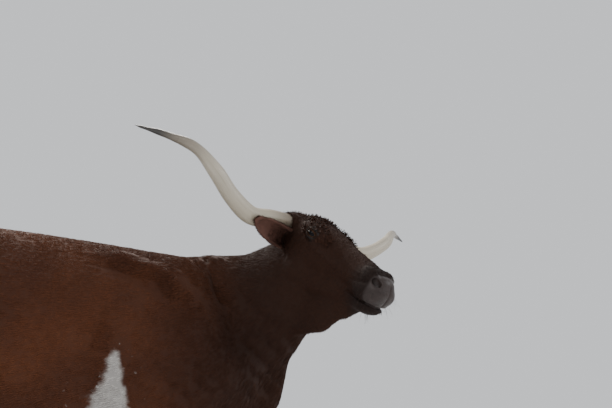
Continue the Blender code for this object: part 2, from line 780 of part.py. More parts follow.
def union(name, pieces, solver="EXACT"):
    """Joins closed pieces into one with a single Boolean union on a collection."""
    group = bpy.data.collections.new(name + "_pieces")
    bpy.context.scene.collection.children.link(group)
    first, rest = pieces[0], pieces[1:]
    for piece in rest:
        bpy.context.scene.collection.objects.unlink(piece)
        group.objects.link(piece)
    join = first.modifiers.new("Join", "BOOLEAN")
    join.operation = "UNION"
    join.operand_type = "COLLECTION"
    join.collection = group
    join.solver = solver
    apply_modifiers(first)
    drop(*rest)
    bpy.data.collections.remove(group)
    first.name = name
    return keep_largest(first)


def tail_switch(name):
    """The tassel: a slim core with rings of overlapping locks down to the tips."""
    x, y = TAIL_LINE[-2][0] - 0.002, TAIL_LINE[-2][1] + 0.001
    top = SWITCH_TOP - GAP
    core = []
    for k in range(SWITCH_CORE_STEPS):
        radius = SWITCH_CORE_RADIUS - SWITCH_CORE_TAPER * k
        core.append(((x, y, top - SWITCH_CORE_STEP * k), radius, radius, radius, 2.0, 0.0))
    pieces = [loft("core", core, Vector((0, 1, 0)), count=8)]
    for r, (drop_down, count, length, spread) in enumerate(SWITCH_ROWS):
        for k in range(count):
            angle = 2 * math.pi * (k + 0.37 * r) / count
            out = Vector((math.cos(angle), math.sin(angle), 0.0))
            wave = 1.0 + 0.12 * math.sin(3.1 * k + 1.7 * r)
            root = Vector((x, y, top - drop_down)) + out * 0.004
            tip = Vector((x, y, top - drop_down - length * wave)) + out * (0.006 + 0.5 * spread)
            bow = out * spread * 0.9
            pieces.append(lock("lock", root, tip, bow, LOCK_WIDTH, LOCK_THICKNESS, angle))
    return union(name, pieces)


def finish(obj, material_name, name=None, smooth=True):
    if name:
        obj.name = name
        obj.data.name = name
    obj.data.materials.clear()
    obj.data.materials.append(material(material_name))
    if smooth:
        obj.data.shade_smooth()
    return obj


# Where a leg is cut from the trunk: the room's rear, front, inner and outer sides, and its top
LEG_ROOMS = {"fore": (-0.10, 0.36, 0.062, 0.45, 0.735), "hind": (-1.45, -0.80, 0.030, 0.45, 0.80)}

# The head's room, in its own frame turned back by the slant of the cut, and the neck's
HEAD_SLANT = -30.0
HEAD_ROOM = (Vector((-0.065, -0.35, -0.60)), Vector((0.70, 0.35, 0.30)))
NECK_SLANT = -30.0
NECK_CUT = (0.16, 0.0, 1.42)
NECK_ROOM = ((0.0, -0.5, -0.90), (0.9, 0.5, 0.5))

# A nostril in the head's frame: its place, radii, and its slope and turn in degrees
NOSTRIL_PLACE = (0.486, 0.041, -0.078)
NOSTRIL_RADII = (0.021, 0.010, 0.015)
NOSTRIL_SLOPE = 35
NOSTRIL_TURN = -32


def flow_of_body(point):
    """How freely the skin flows: fully on the trunk and neck, little on the lower legs."""
    return min(max((point.z - 0.62) / 0.25, 0.0), 1.0)


def head_cut(obj, operation, low, high, place, grow):
    """Keeps or takes away the head's region, a box that may be grown on every side."""
    room = Vector((grow, grow, grow))
    keeper = box("keeper", low - room, high + room, place)
    boolean(obj, keeper, operation, "MANIFOLD")
    drop(keeper)
    keep_largest(obj)


def main():
    for old in list(bpy.data.objects):
        bpy.data.objects.remove(old)

    body = fuse("torso", body_forms(), BODY_VOXEL)
    soften(body, BODY_ROUNDS, flow_of_body)
    soften(body, LAST_ROUNDS, lambda p: 1.0)
    thin(body, BODY_TRIANGLES)

    head_all = fuse("head", head_forms() + neck_forms(), HEAD_FUSE_VOXEL)
    soften(head_all, HEAD_ROUNDS, lambda p: 1.0)
    for y in SIDES.values():
        opening = eye_opening(y)
        boolean(head_all, opening, "DIFFERENCE")
        drop(opening)
    head_all = fuse("head", [head_all] + face_details(), HEAD_VOXEL)
    soften(head_all, LAST_ROUNDS, lambda p: 1.0)
    press_mouth(head_all)

    # The cut from behind the poll to the throat, in the head's own frame
    slant = HEAD @ Matrix.Rotation(math.radians(HEAD_SLANT), 4, "Y")
    low, high = HEAD_ROOM
    head_cut(head_all, "INTERSECT", low, high, slant, HEAD_MARGIN)
    thin(head_all, HEAD_TRIANGLES)
    head_cut(head_all, "INTERSECT", low, high, slant, 0.0)
    head_cut(body, "DIFFERENCE", low, high, slant, GAP)

    legs = {}
    for word, y in SIDES.items():
        for end, (rear, front, inner, outer, top) in LEG_ROOMS.items():
            name = end + "_leg_" + word
            low, high = sorted((inner * y, outer * y))
            legs[name] = split_off(body, name, (rear, low, -0.1), (front, high, top))

    # The cut from the withers to the brisket
    neck_place = Matrix.Translation(NECK_CUT) @ Matrix.Rotation(math.radians(NECK_SLANT), 4, "Y")
    neck = split_off(body, "neck", *NECK_ROOM, neck_place)

    # The tail's root is sunk in a socket in the rump
    tail = tail_tube("tail")
    clear = puffed(tail)
    boolean(body, clear, "DIFFERENCE")
    drop(clear)
    keep_largest(body)
    cutter = box("cutter", (-1.6, -0.3, 0.0), (-1.1, 0.3, SWITCH_TOP))
    boolean(tail, cutter, "DIFFERENCE")
    drop(cutter)
    switch = tail_switch("tail_switch")

    # Horns, eyes and ears
    horns = {word: horn("horn_" + word, y) for word, y in SIDES.items()}
    eyes = {word: eye("eye_" + word, y) for word, y in SIDES.items()}
    for part in (*horns.values(), *eyes.values()):
        clear = puffed(part)
        boolean(head_all, clear, "DIFFERENCE")
        drop(clear)
    for word, y in SIDES.items():
        turn = (0, NOSTRIL_SLOPE, NOSTRIL_TURN * y)
        hole = blob("nostril", mirrored(NOSTRIL_PLACE, y), NOSTRIL_RADII, turn, rings=8)
        hole.data.transform(HEAD)
        boolean(head_all, hole, "DIFFERENCE")
        drop(hole)
    keep_largest(head_all)
    ears = {}
    for word, y in SIDES.items():
        ears[word] = ear("ear_" + word, y)
        for other in (head_all, horns[word]):
            clear = puffed(other)
            boolean(ears[word], clear, "DIFFERENCE")
            drop(clear)
        keep_largest(ears[word])

    # Hooves: two claws and two dewclaws a foot
    hooves = []
    for word, y in SIDES.items():
        for end, table, place in (("fore", FORE_LEG, FORE_PLACE), ("hind", HIND_LEG, HIND_PLACE)):
            foot = table[-1]
            step = step_of(end, y)
            leg = legs[end + "_leg_" + word]
            ahead = foot[1] + foot_shift(CORONET_HEIGHT, step, HIP_HEIGHT[end])
            centre = Vector((place.x + ahead, place.y * y, 0.0))
            fetlock = Vector((centre.x + DEWCLAW_PLACE[0], centre.y, DEWCLAW_PLACE[1]))
            for toe in ("inner", "outer"):
                made = claw(end + "_claw_" + toe + "_" + word, centre, y, toe == "inner")
                clear = puffed(made)
                boolean(leg, clear, "DIFFERENCE")
                drop(clear)
                hooves.append(made)
                made = dewclaw(end + "_dewclaw_" + toe + "_" + word, fetlock, y, toe == "inner")
                clear = puffed(made)
                boolean(leg, clear, "DIFFERENCE")
                drop(clear)
                hooves.append(made)
            floor = box("floor", (-2, -2, -0.2), (2, 2, CORONET_HEIGHT + GAP))
            boolean(leg, floor, "DIFFERENCE")
            drop(floor)
            keep_largest(leg)

    finish(body, "hide", "torso")
    finish(neck, "dark_hide", "neck")
    finish(head_all, "dark_hide", "head")
    for leg in legs.values():
        finish(leg, "hide")
    finish(tail, "hide", "tail")
    finish(switch, "switch", "tail_switch")
    for part in horns.values():
        finish(part, "horn")
    for part in eyes.values():
        finish(part, "eye")
    for part in ears.values():
        finish(part, "ear_skin")
    for part in hooves:
        finish(part, "hoof")

    model = bpy.data.collections.new("texas_longhorn")
    bpy.context.scene.collection.children.link(model)
    shift = Matrix.Translation(ORIGIN_SHIFT)
    for part in list(bpy.context.scene.collection.objects):
        part.data.transform(shift)
        bpy.context.scene.collection.objects.unlink(part)
        model.objects.link(part)


main()
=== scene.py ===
"""Looks of a life-size Texas longhorn steer, a still museum model.

The steer stands square on its hooves and looks over its right shoulder, so the horns lie level across its
turned head. One skin covers the whole body. Short hair lies over it in tufts, and eyes, horns and hooves are
pieces of their own.
"""

import itertools
import math

import bmesh
import bpy
import numpy as np
from mathutils import Matrix, Vector


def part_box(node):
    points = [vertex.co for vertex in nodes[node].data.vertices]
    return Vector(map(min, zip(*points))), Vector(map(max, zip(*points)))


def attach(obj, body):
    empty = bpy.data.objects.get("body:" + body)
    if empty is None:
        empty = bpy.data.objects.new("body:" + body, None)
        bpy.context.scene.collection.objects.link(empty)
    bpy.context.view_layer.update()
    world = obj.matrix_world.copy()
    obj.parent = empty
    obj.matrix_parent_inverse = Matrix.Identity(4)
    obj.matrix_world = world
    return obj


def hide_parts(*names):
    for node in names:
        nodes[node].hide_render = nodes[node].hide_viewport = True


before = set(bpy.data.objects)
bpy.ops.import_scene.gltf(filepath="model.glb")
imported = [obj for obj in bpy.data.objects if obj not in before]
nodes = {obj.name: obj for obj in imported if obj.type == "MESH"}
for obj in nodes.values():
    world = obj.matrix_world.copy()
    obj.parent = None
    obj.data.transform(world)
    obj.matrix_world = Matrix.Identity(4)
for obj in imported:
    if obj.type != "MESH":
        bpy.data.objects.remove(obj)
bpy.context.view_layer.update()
BODY = "root"
SIDES = {"left": 1.0, "right": -1.0}

# The studio
# A camera at the height of the steer's elbow looks up at its head from its right side. The floor and the
# backdrop are pale, and large soft lights stand over and behind the back and beside the camera.
CAMERA_PLACE = Vector((0.0345, -1.7455, 0.85))
CAMERA_YAW = math.radians(70.0)
CAMERA_RISE = math.radians(22.17)
CAMERA_LENS = 27.98
FLOOR_SIZE = 60.0
FLOOR_GAP = 0.001


def new_object(name, data):
    made = bpy.data.objects.new(name, data)
    bpy.context.scene.collection.objects.link(made)
    return made


def soft_light(name, place, target, size, watts, colour):
    data = bpy.data.lights.new(name, "AREA")
    data.shape = "DISK"
    data.size = size
    data.energy = watts
    data.color = colour
    lamp = new_object(name, data)
    lamp.location = place
    lamp.rotation_euler = (Vector(target) - Vector(place)).to_track_quat("-Z", "Y").to_euler()


camera_data = bpy.data.cameras.new("camera")
camera_data.lens = CAMERA_LENS
camera_data.sensor_width = 36.0
camera_data.clip_end = 200.0
camera = new_object("camera", camera_data)
camera.location = CAMERA_PLACE
camera.rotation_euler = (math.pi / 2 + CAMERA_RISE, 0.0, CAMERA_YAW - math.pi / 2)
bpy.context.scene.camera = camera

soft_light("back_light", (-0.8, 2.4, 5.0), (0.0, 0.10, 1.2), 3.0, 430.0, (1.0, 0.95, 0.88))
soft_light("front_light", (-2.6, -4.2, 3.4), (0.0, 0.0, 1.0), 3.6, 90.0, (1.0, 0.98, 0.95))
soft_light("head_light", (3.4, -2.2, 2.6), (0.6, -0.2, 1.3), 2.4, 70.0, (0.95, 0.98, 1.0))

world = bpy.data.worlds.new("studio")
world.use_nodes = True
world.node_tree.nodes["Background"].inputs["Color"].default_value = (0.86, 0.88, 0.91, 1.0)
world.node_tree.nodes["Background"].inputs["Strength"].default_value = 0.92
bpy.context.scene.world = world


class Wire:
    """One output in a material's nodes. Sums on wires add the nodes that work them out."""

    def __init__(self, finish, socket):
        self.finish = finish
        self.socket = socket

    @property
    def kind(self):
        return self.socket.type

    def maths(self, operation, first, second):
        """A sum on two numbers, or on each number of two vectors or colours."""
        plain = all(getattr(v, "kind", "VALUE") == "VALUE" for v in (first, second))
        node_kind = "ShaderNodeMath" if plain else "ShaderNodeVectorMath"
        return self.finish.node(node_kind, {0: first, 1: second}, operation=operation)

    def __add__(self, other):
        return self.maths("ADD", self, other)

    def __sub__(self, other):
        return self.maths("SUBTRACT", self, other)

    def __mul__(self, other):
        return self.maths("MULTIPLY", self, other)

    def __radd__(self, other):
        return self.maths("ADD", other, self)

    def __rsub__(self, other):
        return self.maths("SUBTRACT", other, self)

    def least(self, other):
        return self.maths("MINIMUM", self, other)

    def most(self, other):
        return self.maths("MAXIMUM", self, other)

    def dot(self, vector):
        return self.finish.node("ShaderNodeVectorMath", {0: self, 1: vector}, 1, operation="DOT_PRODUCT")

    def length(self):
        return self.finish.node("ShaderNodeVectorMath", {0: self}, 1, operation="LENGTH")

    def number(self, k):
        """One of a vector's three numbers."""
        return self.finish.node("ShaderNodeSeparateXYZ", {0: self}, k)

    def between(self, low, high):
        """0 below low, 1 above high, and an eased step between them."""
        return self.finish.node("ShaderNodeMapRange", {"Value": self, "From Min": low, "From Max": high},
                                interpolation_type="SMOOTHSTEP")


def make_node(tree, kind, inputs, settings):
    """A new node: its settings come first, then each socket is linked or takes its value."""
    made = tree.nodes.new(kind)
    for name, value in settings.items():
        setattr(made, name, value)
    for name, value in inputs.items():
        socket = made.inputs[name]
        if isinstance(value, bpy.types.NodeSocket):
            tree.links.new(value, socket)
        elif socket.type == "RGBA":
            socket.default_value = (*value, 1.0)
        elif socket.type == "VECTOR" and isinstance(value, (int, float)):
            socket.default_value = (value,) * 3
        else:
            socket.default_value = value
    return made


class Finish:
    """A material in the making."""

    def __init__(self, name):
        self.material = bpy.data.materials.new(name)
        self.material.use_nodes = True
        self.tree = self.material.node_tree
        self.shader = self.tree.nodes["Principled BSDF"]

    def node(self, kind, inputs=None, output=0, stops=None, **settings):
        given = {name: getattr(value, "socket", value) for name, value in (inputs or {}).items()}
        given = {name: value for name, value in given.items() if value is not None}
        made = make_node(self.tree, kind, given, settings)
        if stops:
            ramp = made.color_ramp
            while len(ramp.elements) < len(stops):
                ramp.elements.new(1.0)
            for element, (place, colour) in zip(ramp.elements, stops):
                element.position = place
                element.color = (*colour, 1.0)
        return Wire(self, made.outputs[output])

    def place(self):
        """The point on the piece, in metres, in the frame of the whole model."""
        return self.node("ShaderNodeTexCoord", output="Object")

    def attribute(self, name, output="Fac"):
        return self.node("ShaderNodeAttribute", output=output, attribute_name=name)

    def noise(self, where, scale, detail=3.0, stretch=None):
        if stretch:
            where = self.node("ShaderNodeMapping", {"Vector": where, "Scale": stretch})
        inputs = {"Vector": where, "Scale": scale, "Detail": detail, "Roughness": 0.55}
        return self.node("ShaderNodeTexNoise", inputs)

    def mix(self, factor, first, second):
        return self.node("ShaderNodeMix", {0: factor, 6: first, 7: second}, 2, data_type="RGBA")

    def bump(self, height, depth, under=None):
        inputs = {"Height": height, "Distance": depth, "Strength": 1.0, "Normal": under}
        return self.node("ShaderNodeBump", inputs)

    def set(self, **values):
        """Sets the shader's sockets: a wire is linked, and anything else is the socket's own value."""
        for name, value in values.items():
            socket = self.shader.inputs[name.replace("_", " ")]
            if isinstance(value, Wire):
                self.tree.links.new(value.socket, socket)
            else:
                socket.default_value = (*value, 1.0) if socket.type == "RGBA" else value


def object_from(name, bm, finish=None):
    """A new piece with the given mesh, which is freed, and with its finish."""
    mesh = bpy.data.meshes.new(name)
    bm.to_mesh(mesh)
    bm.free()
    if finish:
        mesh.shade_smooth()
        mesh.materials.append(finish.material)
    return new_object(name, mesh)


floor_finish = Finish("studio_floor")
floor_grain = floor_finish.noise(floor_finish.place(), 3.0)
floor_colour = floor_finish.mix(floor_grain, (0.80, 0.81, 0.82), (0.83, 0.84, 0.85))
floor_finish.set(Base_Color=floor_colour, Roughness=0.85)
floor_bm = bmesh.new()
bmesh.ops.create_grid(floor_bm, x_segments=2, y_segments=2, size=FLOOR_SIZE / 2)
floor = object_from("studio_floor", floor_bm, floor_finish)
floor.location = (0.0, 0.0, -FLOOR_GAP)

# The skin
# One hide from the muzzle to the root of the tail's tassel. It starts from the modelled body, which is
# closed over its joins, and is drawn in by the depth of the coat. Ears are part of it.
# MID is the trunk's middle plane, and WITHERS is where the withers lie along it.
MID = 0.1545
WITHERS = 0.0745
POLL = Vector((0.6405, -0.1035, 1.517))
HEAD_TURN, HEAD_NOD, HEAD_TILT = math.radians(-67.0), math.radians(34.7), math.radians(-3.0)
HEAD = Matrix.Translation(POLL) @ Matrix.Rotation(HEAD_TURN, 4, "Z")
HEAD = HEAD @ Matrix.Rotation(HEAD_NOD, 4, "Y") @ Matrix.Rotation(HEAD_TILT, 4, "X")
HEAD_FRAME = np.array(HEAD)[:3, :3]
FLESH = ["torso", "neck", "head", "tail", "ear_left", "ear_right"]
FLESH += [end + "_leg_" + side for end in ("fore", "hind") for side in SIDES]
SKIN_VOXEL = 0.0034
SKIN_TRIANGLES = 190000
COAT_DEPTH = 0.0015
MERGE_GAP = 0.00001
OVERLAP = 0.0006
EAR_OVERLAP = OVERLAP * 1.6
TAIL_START, TAIL_FREE = WITHERS - 1.26, WITHERS - 1.29
EVEN_ROUNDS, BODY_ROUNDS, HEAD_ROUNDS = 26, 4, 3

# Eyeballs, and the half width and heights of the almond between the lids
EYE_CENTRES = {side: (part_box("eye_" + side)[0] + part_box("eye_" + side)[1]) / 2 for side in SIDES}
EYE_RADIUS = 0.0243
EYE_AIM = Vector((0.34, 0.92, 0.10)).normalized()
LID_OPENING = (0.0200, 0.0118, 0.0098)
LID_CORNER = 0.35
LID_SLANT = math.radians(-12.0)
LID_THICKNESS = 0.0046
LID_THINNING = 0.45
LID_TUCK = 0.0008
LID_EDGE = 0.98
LID_SIDES, LID_RINGS = 64, 7


def eye_axes(side):
    """The way an eye looks, the line from its outer to its inner corner, and the way up across it."""
    turn = HEAD.to_3x3()
    aim = (turn @ Vector((EYE_AIM.x, EYE_AIM.y * SIDES[side], EYE_AIM.z))).normalized()
    inward = turn @ Vector((math.cos(LID_SLANT), 0.0, math.sin(LID_SLANT)))
    inward = (inward - aim * inward.dot(aim)).normalized()
    rise = aim.cross(inward) * -SIDES[side]
    return aim, inward, rise


def on_lid(side, across, upward, radius):
    """A point over the eyeball, given by how far it lies from the eye's axis."""
    aim, inward, rise = eye_axes(side)
    flat = inward * across + rise * upward
    depth = math.sqrt(max(radius ** 2 - flat.length_squared, 0.0))
    return Vector(EYE_CENTRES[side]) + flat + aim * depth


def lid_shell(side):
    """Both lids in one: a shell over the ball with an almond opening."""
    half, above, below = LID_OPENING
    bm = bmesh.new()
    rings = []
    for layer in (-LID_TUCK, LID_THICKNESS):
        for k in range(LID_RINGS + 1):
            thin = 1.0 - LID_THINNING * (1.0 - k / LID_RINGS) ** 2
            radius = EYE_RADIUS + layer * (thin if layer > 0 else 1.0)
            ring = []
            for j in range(LID_SIDES):
                turn = 2 * math.pi * j / LID_SIDES
                across, rise = math.cos(turn), math.sin(turn)
                tall = above if rise > 0 else below
                edge = Vector((half * across, tall * rise * abs(rise) ** LID_CORNER))
                spot = edge.lerp(Vector((across, rise)) * (EYE_RADIUS * LID_EDGE), k / LID_RINGS)
                ring.append(bm.verts.new(on_lid(side, spot.x, spot.y, radius)))
            rings.append(ring)
    count = LID_RINGS + 1
    pairs = [(k, k + 1) for k in range(LID_RINGS)] + [(count + k + 1, count + k) for k in range(LID_RINGS)]
    pairs += [(count, 0), (LID_RINGS, count + LID_RINGS)]
    for a, b in pairs:
        for j in range(LID_SIDES):
            n = (j + 1) % LID_SIDES
            bm.faces.new((rings[a][j], rings[a][n], rings[b][n], rings[b][j]))
    bmesh.ops.recalc_face_normals(bm, faces=bm.faces)
    return bm


def apply_modifiers(obj):
    """Works a piece's modifiers into its mesh."""
    bpy.context.view_layer.update()
    graph = bpy.context.evaluated_depsgraph_get()
    mesh = bpy.data.meshes.new_from_object(obj.evaluated_get(graph))
    obj.modifiers.clear()
    obj.data = mesh


def read(rows, field, width=3, kind=np.float32):
    """One field of all vertices, normals, edges or corners, as rows of numbers."""
    flat = np.empty(len(rows) * width, dtype=kind)
    rows.foreach_get(field, flat)
    return flat.reshape(-1, width)


def points_of(mesh):
    return read(mesh.vertices, "co").astype(np.float64)


def normals_of(mesh):
    return read(mesh.vertex_normals, "vector").astype(np.float64)


def edges_of(mesh):
    return read(mesh.edges, "vertices", 2, np.int32)


def set_points(mesh, points):
    mesh.vertices.foreach_set("co", points.astype(np.float32).ravel())
    mesh.update()


def unit(vectors):
    return vectors / np.maximum(np.linalg.norm(vectors, axis=-1, keepdims=True), 1e-9)


def store(mesh, name, values, kind="FLOAT"):
    """Keeps a number or a vector for each point of a mesh."""
    found = mesh.attributes.get(name) or mesh.attributes.new(name, kind, "POINT")
    field = "value" if kind == "FLOAT" else "vector"
    found.data.foreach_set(field, np.ascontiguousarray(values, dtype=np.float32).ravel())


def ramp(values, low, high):
    """0 at low, 1 at high, eased; low may be above high."""
    t = np.clip((values - low) / (high - low), 0.0, 1.0)
    return t * t * (3.0 - 2.0 * t)


def in_head(points):
    """Points in the head's own frame: x down the face, y to its left, z out of the forehead."""
    back = np.array(HEAD.inverted())
    return points @ back[:3, :3].T + back[:3, 3]


def add_shell(whole, shell):
    """Adds a closed shell to the others and frees it."""
    scrap = bpy.data.meshes.new("scrap")
    shell.to_mesh(scrap)
    shell.free()
    whole.from_mesh(scrap)
    bpy.data.meshes.remove(scrap)


whole = bmesh.new()
for name in FLESH:
    part = bmesh.new()
    part.from_mesh(nodes[name].data)
    bmesh.ops.remove_doubles(part, verts=part.verts, dist=MERGE_GAP)
    swell = OVERLAP
    if name.startswith("ear"):
        bmesh.ops.subdivide_edges(part, edges=part.edges, cuts=1, use_grid_fill=True, smooth=1.0)
        swell = EAR_OVERLAP
    part.normal_update()
    for v in part.verts:
        v.co += v.normal * swell
    add_shell(whole, part)
for side in SIDES:
    add_shell(whole, lid_shell(side))
skin = object_from("skin", whole)

wrap = skin.modifiers.new("Wrap", "REMESH")
wrap.mode = "VOXEL"
wrap.voxel_size = SKIN_VOXEL
apply_modifiers(skin)


def head_share(points):
    """1 on the head and ears, 0 on the neck and body."""
    local = in_head(points)
    return ramp(local[:, 0] - 0.25 * local[:, 2], -0.10, -0.03) * ramp(local[:, 2], -0.40, -0.33)


kept = skin.vertex_groups.new(name="fine")
share = head_share(points_of(skin.data))
kept.add([int(i) for i in np.nonzero(share > 0.5)[0]], 1.0, "REPLACE")
thinner = skin.modifiers.new("Thin", "DECIMATE")
thinner.ratio = min(1.0, SKIN_TRIANGLES / (2 * len(skin.data.polygons)))
thinner.vertex_group = "fine"
thinner.invert_vertex_group = True
thinner.vertex_group_factor = 1.0
apply_modifiers(skin)
skin.vertex_groups.clear()


def relax(points, edges, rounds, weight):
    """Each round moves every point towards the mean of its neighbours, by its weight."""
    count = len(points)
    ends = np.concatenate([edges[:, 0], edges[:, 1]])
    others = np.concatenate([edges[:, 1], edges[:, 0]])
    ties = np.maximum(np.bincount(ends, minlength=count), 1)
    for _ in range(rounds):
        mean = np.stack([np.bincount(ends, points[others, k], count) / ties for k in range(3)], axis=1)
        points = points + (mean - points) * weight[:, None]
    return points


def even_out(points, edges, rounds, weight):
    """Smooths without shrinking: each round draws in, then swells back a little more."""
    for _ in range(rounds):
        points = relax(points, edges, 1, 0.50 * weight)
        points = relax(points, edges, 1, -0.53 * weight)
    return points


points = points_of(skin.data)
edges = edges_of(skin.data)
share = head_share(points)
tail_share = ramp(points[:, 0], TAIL_START, TAIL_FREE)
body_share = (1.0 - share) * (1.0 - tail_share)
points = even_out(points, edges, EVEN_ROUNDS, body_share * ramp(points[:, 2], 0.30, 0.70))
points = relax(points, edges, BODY_ROUNDS, 0.5 * body_share)
points = relax(points, edges, HEAD_ROUNDS, 0.4 * np.maximum(share, tail_share))
set_points(skin.data, points)

# Ridges and folds seen from the side: x and z of each line's points, its half width, how far it rises, and
# whether it lies on the right side alone
BODY_LINES = [
    ([(-0.035, 1.321), (0.079, 1.283), (0.140, 1.276), (0.176, 1.249), (0.192, 1.211), (0.250, 1.150)],
     0.024, 0.022, 0),
    ([(-0.030, 1.275), (0.070, 1.240), (0.120, 1.225), (0.150, 1.190)], 0.026, -0.014, 0),
    ([(0.286, 1.367), (0.294, 1.330), (0.305, 1.298), (0.319, 1.231), (0.345, 1.180)], 0.012, -0.019, 1),
    ([(0.310, 1.362), (0.318, 1.325), (0.330, 1.290), (0.345, 1.232)], 0.014, 0.010, 1),
    ([(0.262, 1.365), (0.270, 1.325), (0.280, 1.290), (0.292, 1.230)], 0.014, 0.009, 1),
    ([(0.372, 1.370), (0.384, 1.300), (0.405, 1.230), (0.430, 1.180)], 0.013, -0.011, 1),
    ([(0.395, 1.375), (0.410, 1.300), (0.430, 1.235)], 0.015, 0.006, 1),
    ([(-0.060, 1.020), (-0.035, 0.930), (-0.020, 0.840)], 0.020, -0.015, 0),
    ([(0.020, 1.140), (-0.020, 1.020), (-0.015, 0.900)], 0.032, 0.012, 0),
    ([(0.150, 0.905), (0.200, 0.885), (0.250, 0.850)], 0.009, -0.009, 0),
    ([(0.190, 0.935), (0.250, 0.908), (0.310, 0.865)], 0.009, -0.010, 0),
    ([(0.240, 0.962), (0.300, 0.930), (0.360, 0.880)], 0.009, -0.009, 0),
    ([(-0.650, 0.730), (-0.735, 0.860), (-0.790, 1.000)], 0.030, 0.016, 0),
    ([(-0.870, 1.000), (-0.890, 0.880), (-0.905, 0.760)], 0.022, -0.010, 0),
    ([(-1.060, 1.200), (-1.040, 1.040), (-1.000, 0.880), (-0.990, 0.780)], 0.018, -0.014, 0),
]
RIB_FIRST, RIB_STEP, RIB_COUNT = -0.250, -0.062, 8
for k in range(RIB_COUNT):
    rib = RIB_FIRST + RIB_STEP * k
    BODY_LINES.append(([(rib, 1.20), (rib - 0.020, 1.05), (rib - 0.015, 0.90)], 0.017, 0.0060, 0))

# The same on the face, down it and out of it in the head's frame
FACE_LINES = [
    ([(0.385, -0.149), (0.560, -0.149)], 0.0036, -0.0050, 0),
    ([(0.392, -0.140), (0.560, -0.141)], 0.0050, 0.0018, 0),
    ([(0.392, -0.158), (0.560, -0.158)], 0.0050, 0.0022, 0),
    ([(0.375, -0.142), (0.366, -0.160), (0.362, -0.176)], 0.0040, -0.0028, 0),
    ([(0.357, -0.140), (0.350, -0.158), (0.348, -0.172)], 0.0040, -0.0018, 0),
    ([(0.225, -0.085), (0.290, -0.098), (0.350, -0.100)], 0.0100, 0.0040, 0),
    ([(0.300, -0.112), (0.285, -0.145), (0.262, -0.180)], 0.0100, -0.0045, 0),
    ([(0.462, -0.088), (0.435, -0.098), (0.405, -0.104)], 0.0060, -0.0032, 0),
    ([(0.200, -0.030), (0.150, -0.055), (0.105, -0.090)], 0.0120, -0.0040, 0),
    ([(0.245, -0.078), (0.305, -0.118), (0.345, -0.150)], 0.0034, 0.0018, 0),
    ([(0.330, -0.060), (0.380, -0.075), (0.420, -0.075)], 0.0040, 0.0014, 0),
]
# Lobes and notches of the loose skin under the throat: place, reach and how far each rises
THROAT_LOBES = [
    ((0.655, -0.190, 1.078), 0.022, 0.006),
    ((0.636, -0.105, 1.058), 0.020, 0.008),
    ((0.672, -0.255, 1.112), 0.016, -0.004),
    ((0.615, -0.045, 1.030), 0.022, -0.007),
]
LID_CREASES = [(0.0335, 0.0016), (0.0405, 0.0014), (0.0480, 0.0010)]
CREASE_WIDTH = 0.0019
# Half widths and depths of the groove between the nostrils and of the one before each sinew of the legs
NOSE_GROOVE = (0.0035, 0.0030)
SINEW_GROOVE = (0.0055, 0.0048)
SINEW_PLACES = {"fore": -0.013, "hind": -0.010}
SHANK = (0.14, 0.46)
POLL_DIP = 0.010
# The hollow of the flank: place, reach and depth. The pleats of the throat: how close and how deep.
FLANK_HOLLOW = (-0.735, 1.215, 0.110, 0.075, 0.028)
THROAT_PLEATS = (58.0, 0.0080)


def line_distance(points, line):
    """How far each flat point lies from a line of straight steps."""
    best = np.full(len(points), np.inf)
    for a, b in zip(line, line[1:]):
        a, run = np.array(a), np.array(b) - np.array(a)
        t = np.clip((points - a) @ run / (run @ run), 0.0, 1.0)
        best = np.minimum(best, np.linalg.norm(points - a - t[:, None] * run, axis=1))
    return best


def rise_along(points, lines, right):
    rise = np.zeros(len(points))
    for line, width, height, right_only in lines:
        near = np.exp(-(line_distance(points, line) / width) ** 2)
        rise += height * near * (right if right_only else 1.0)
    return rise


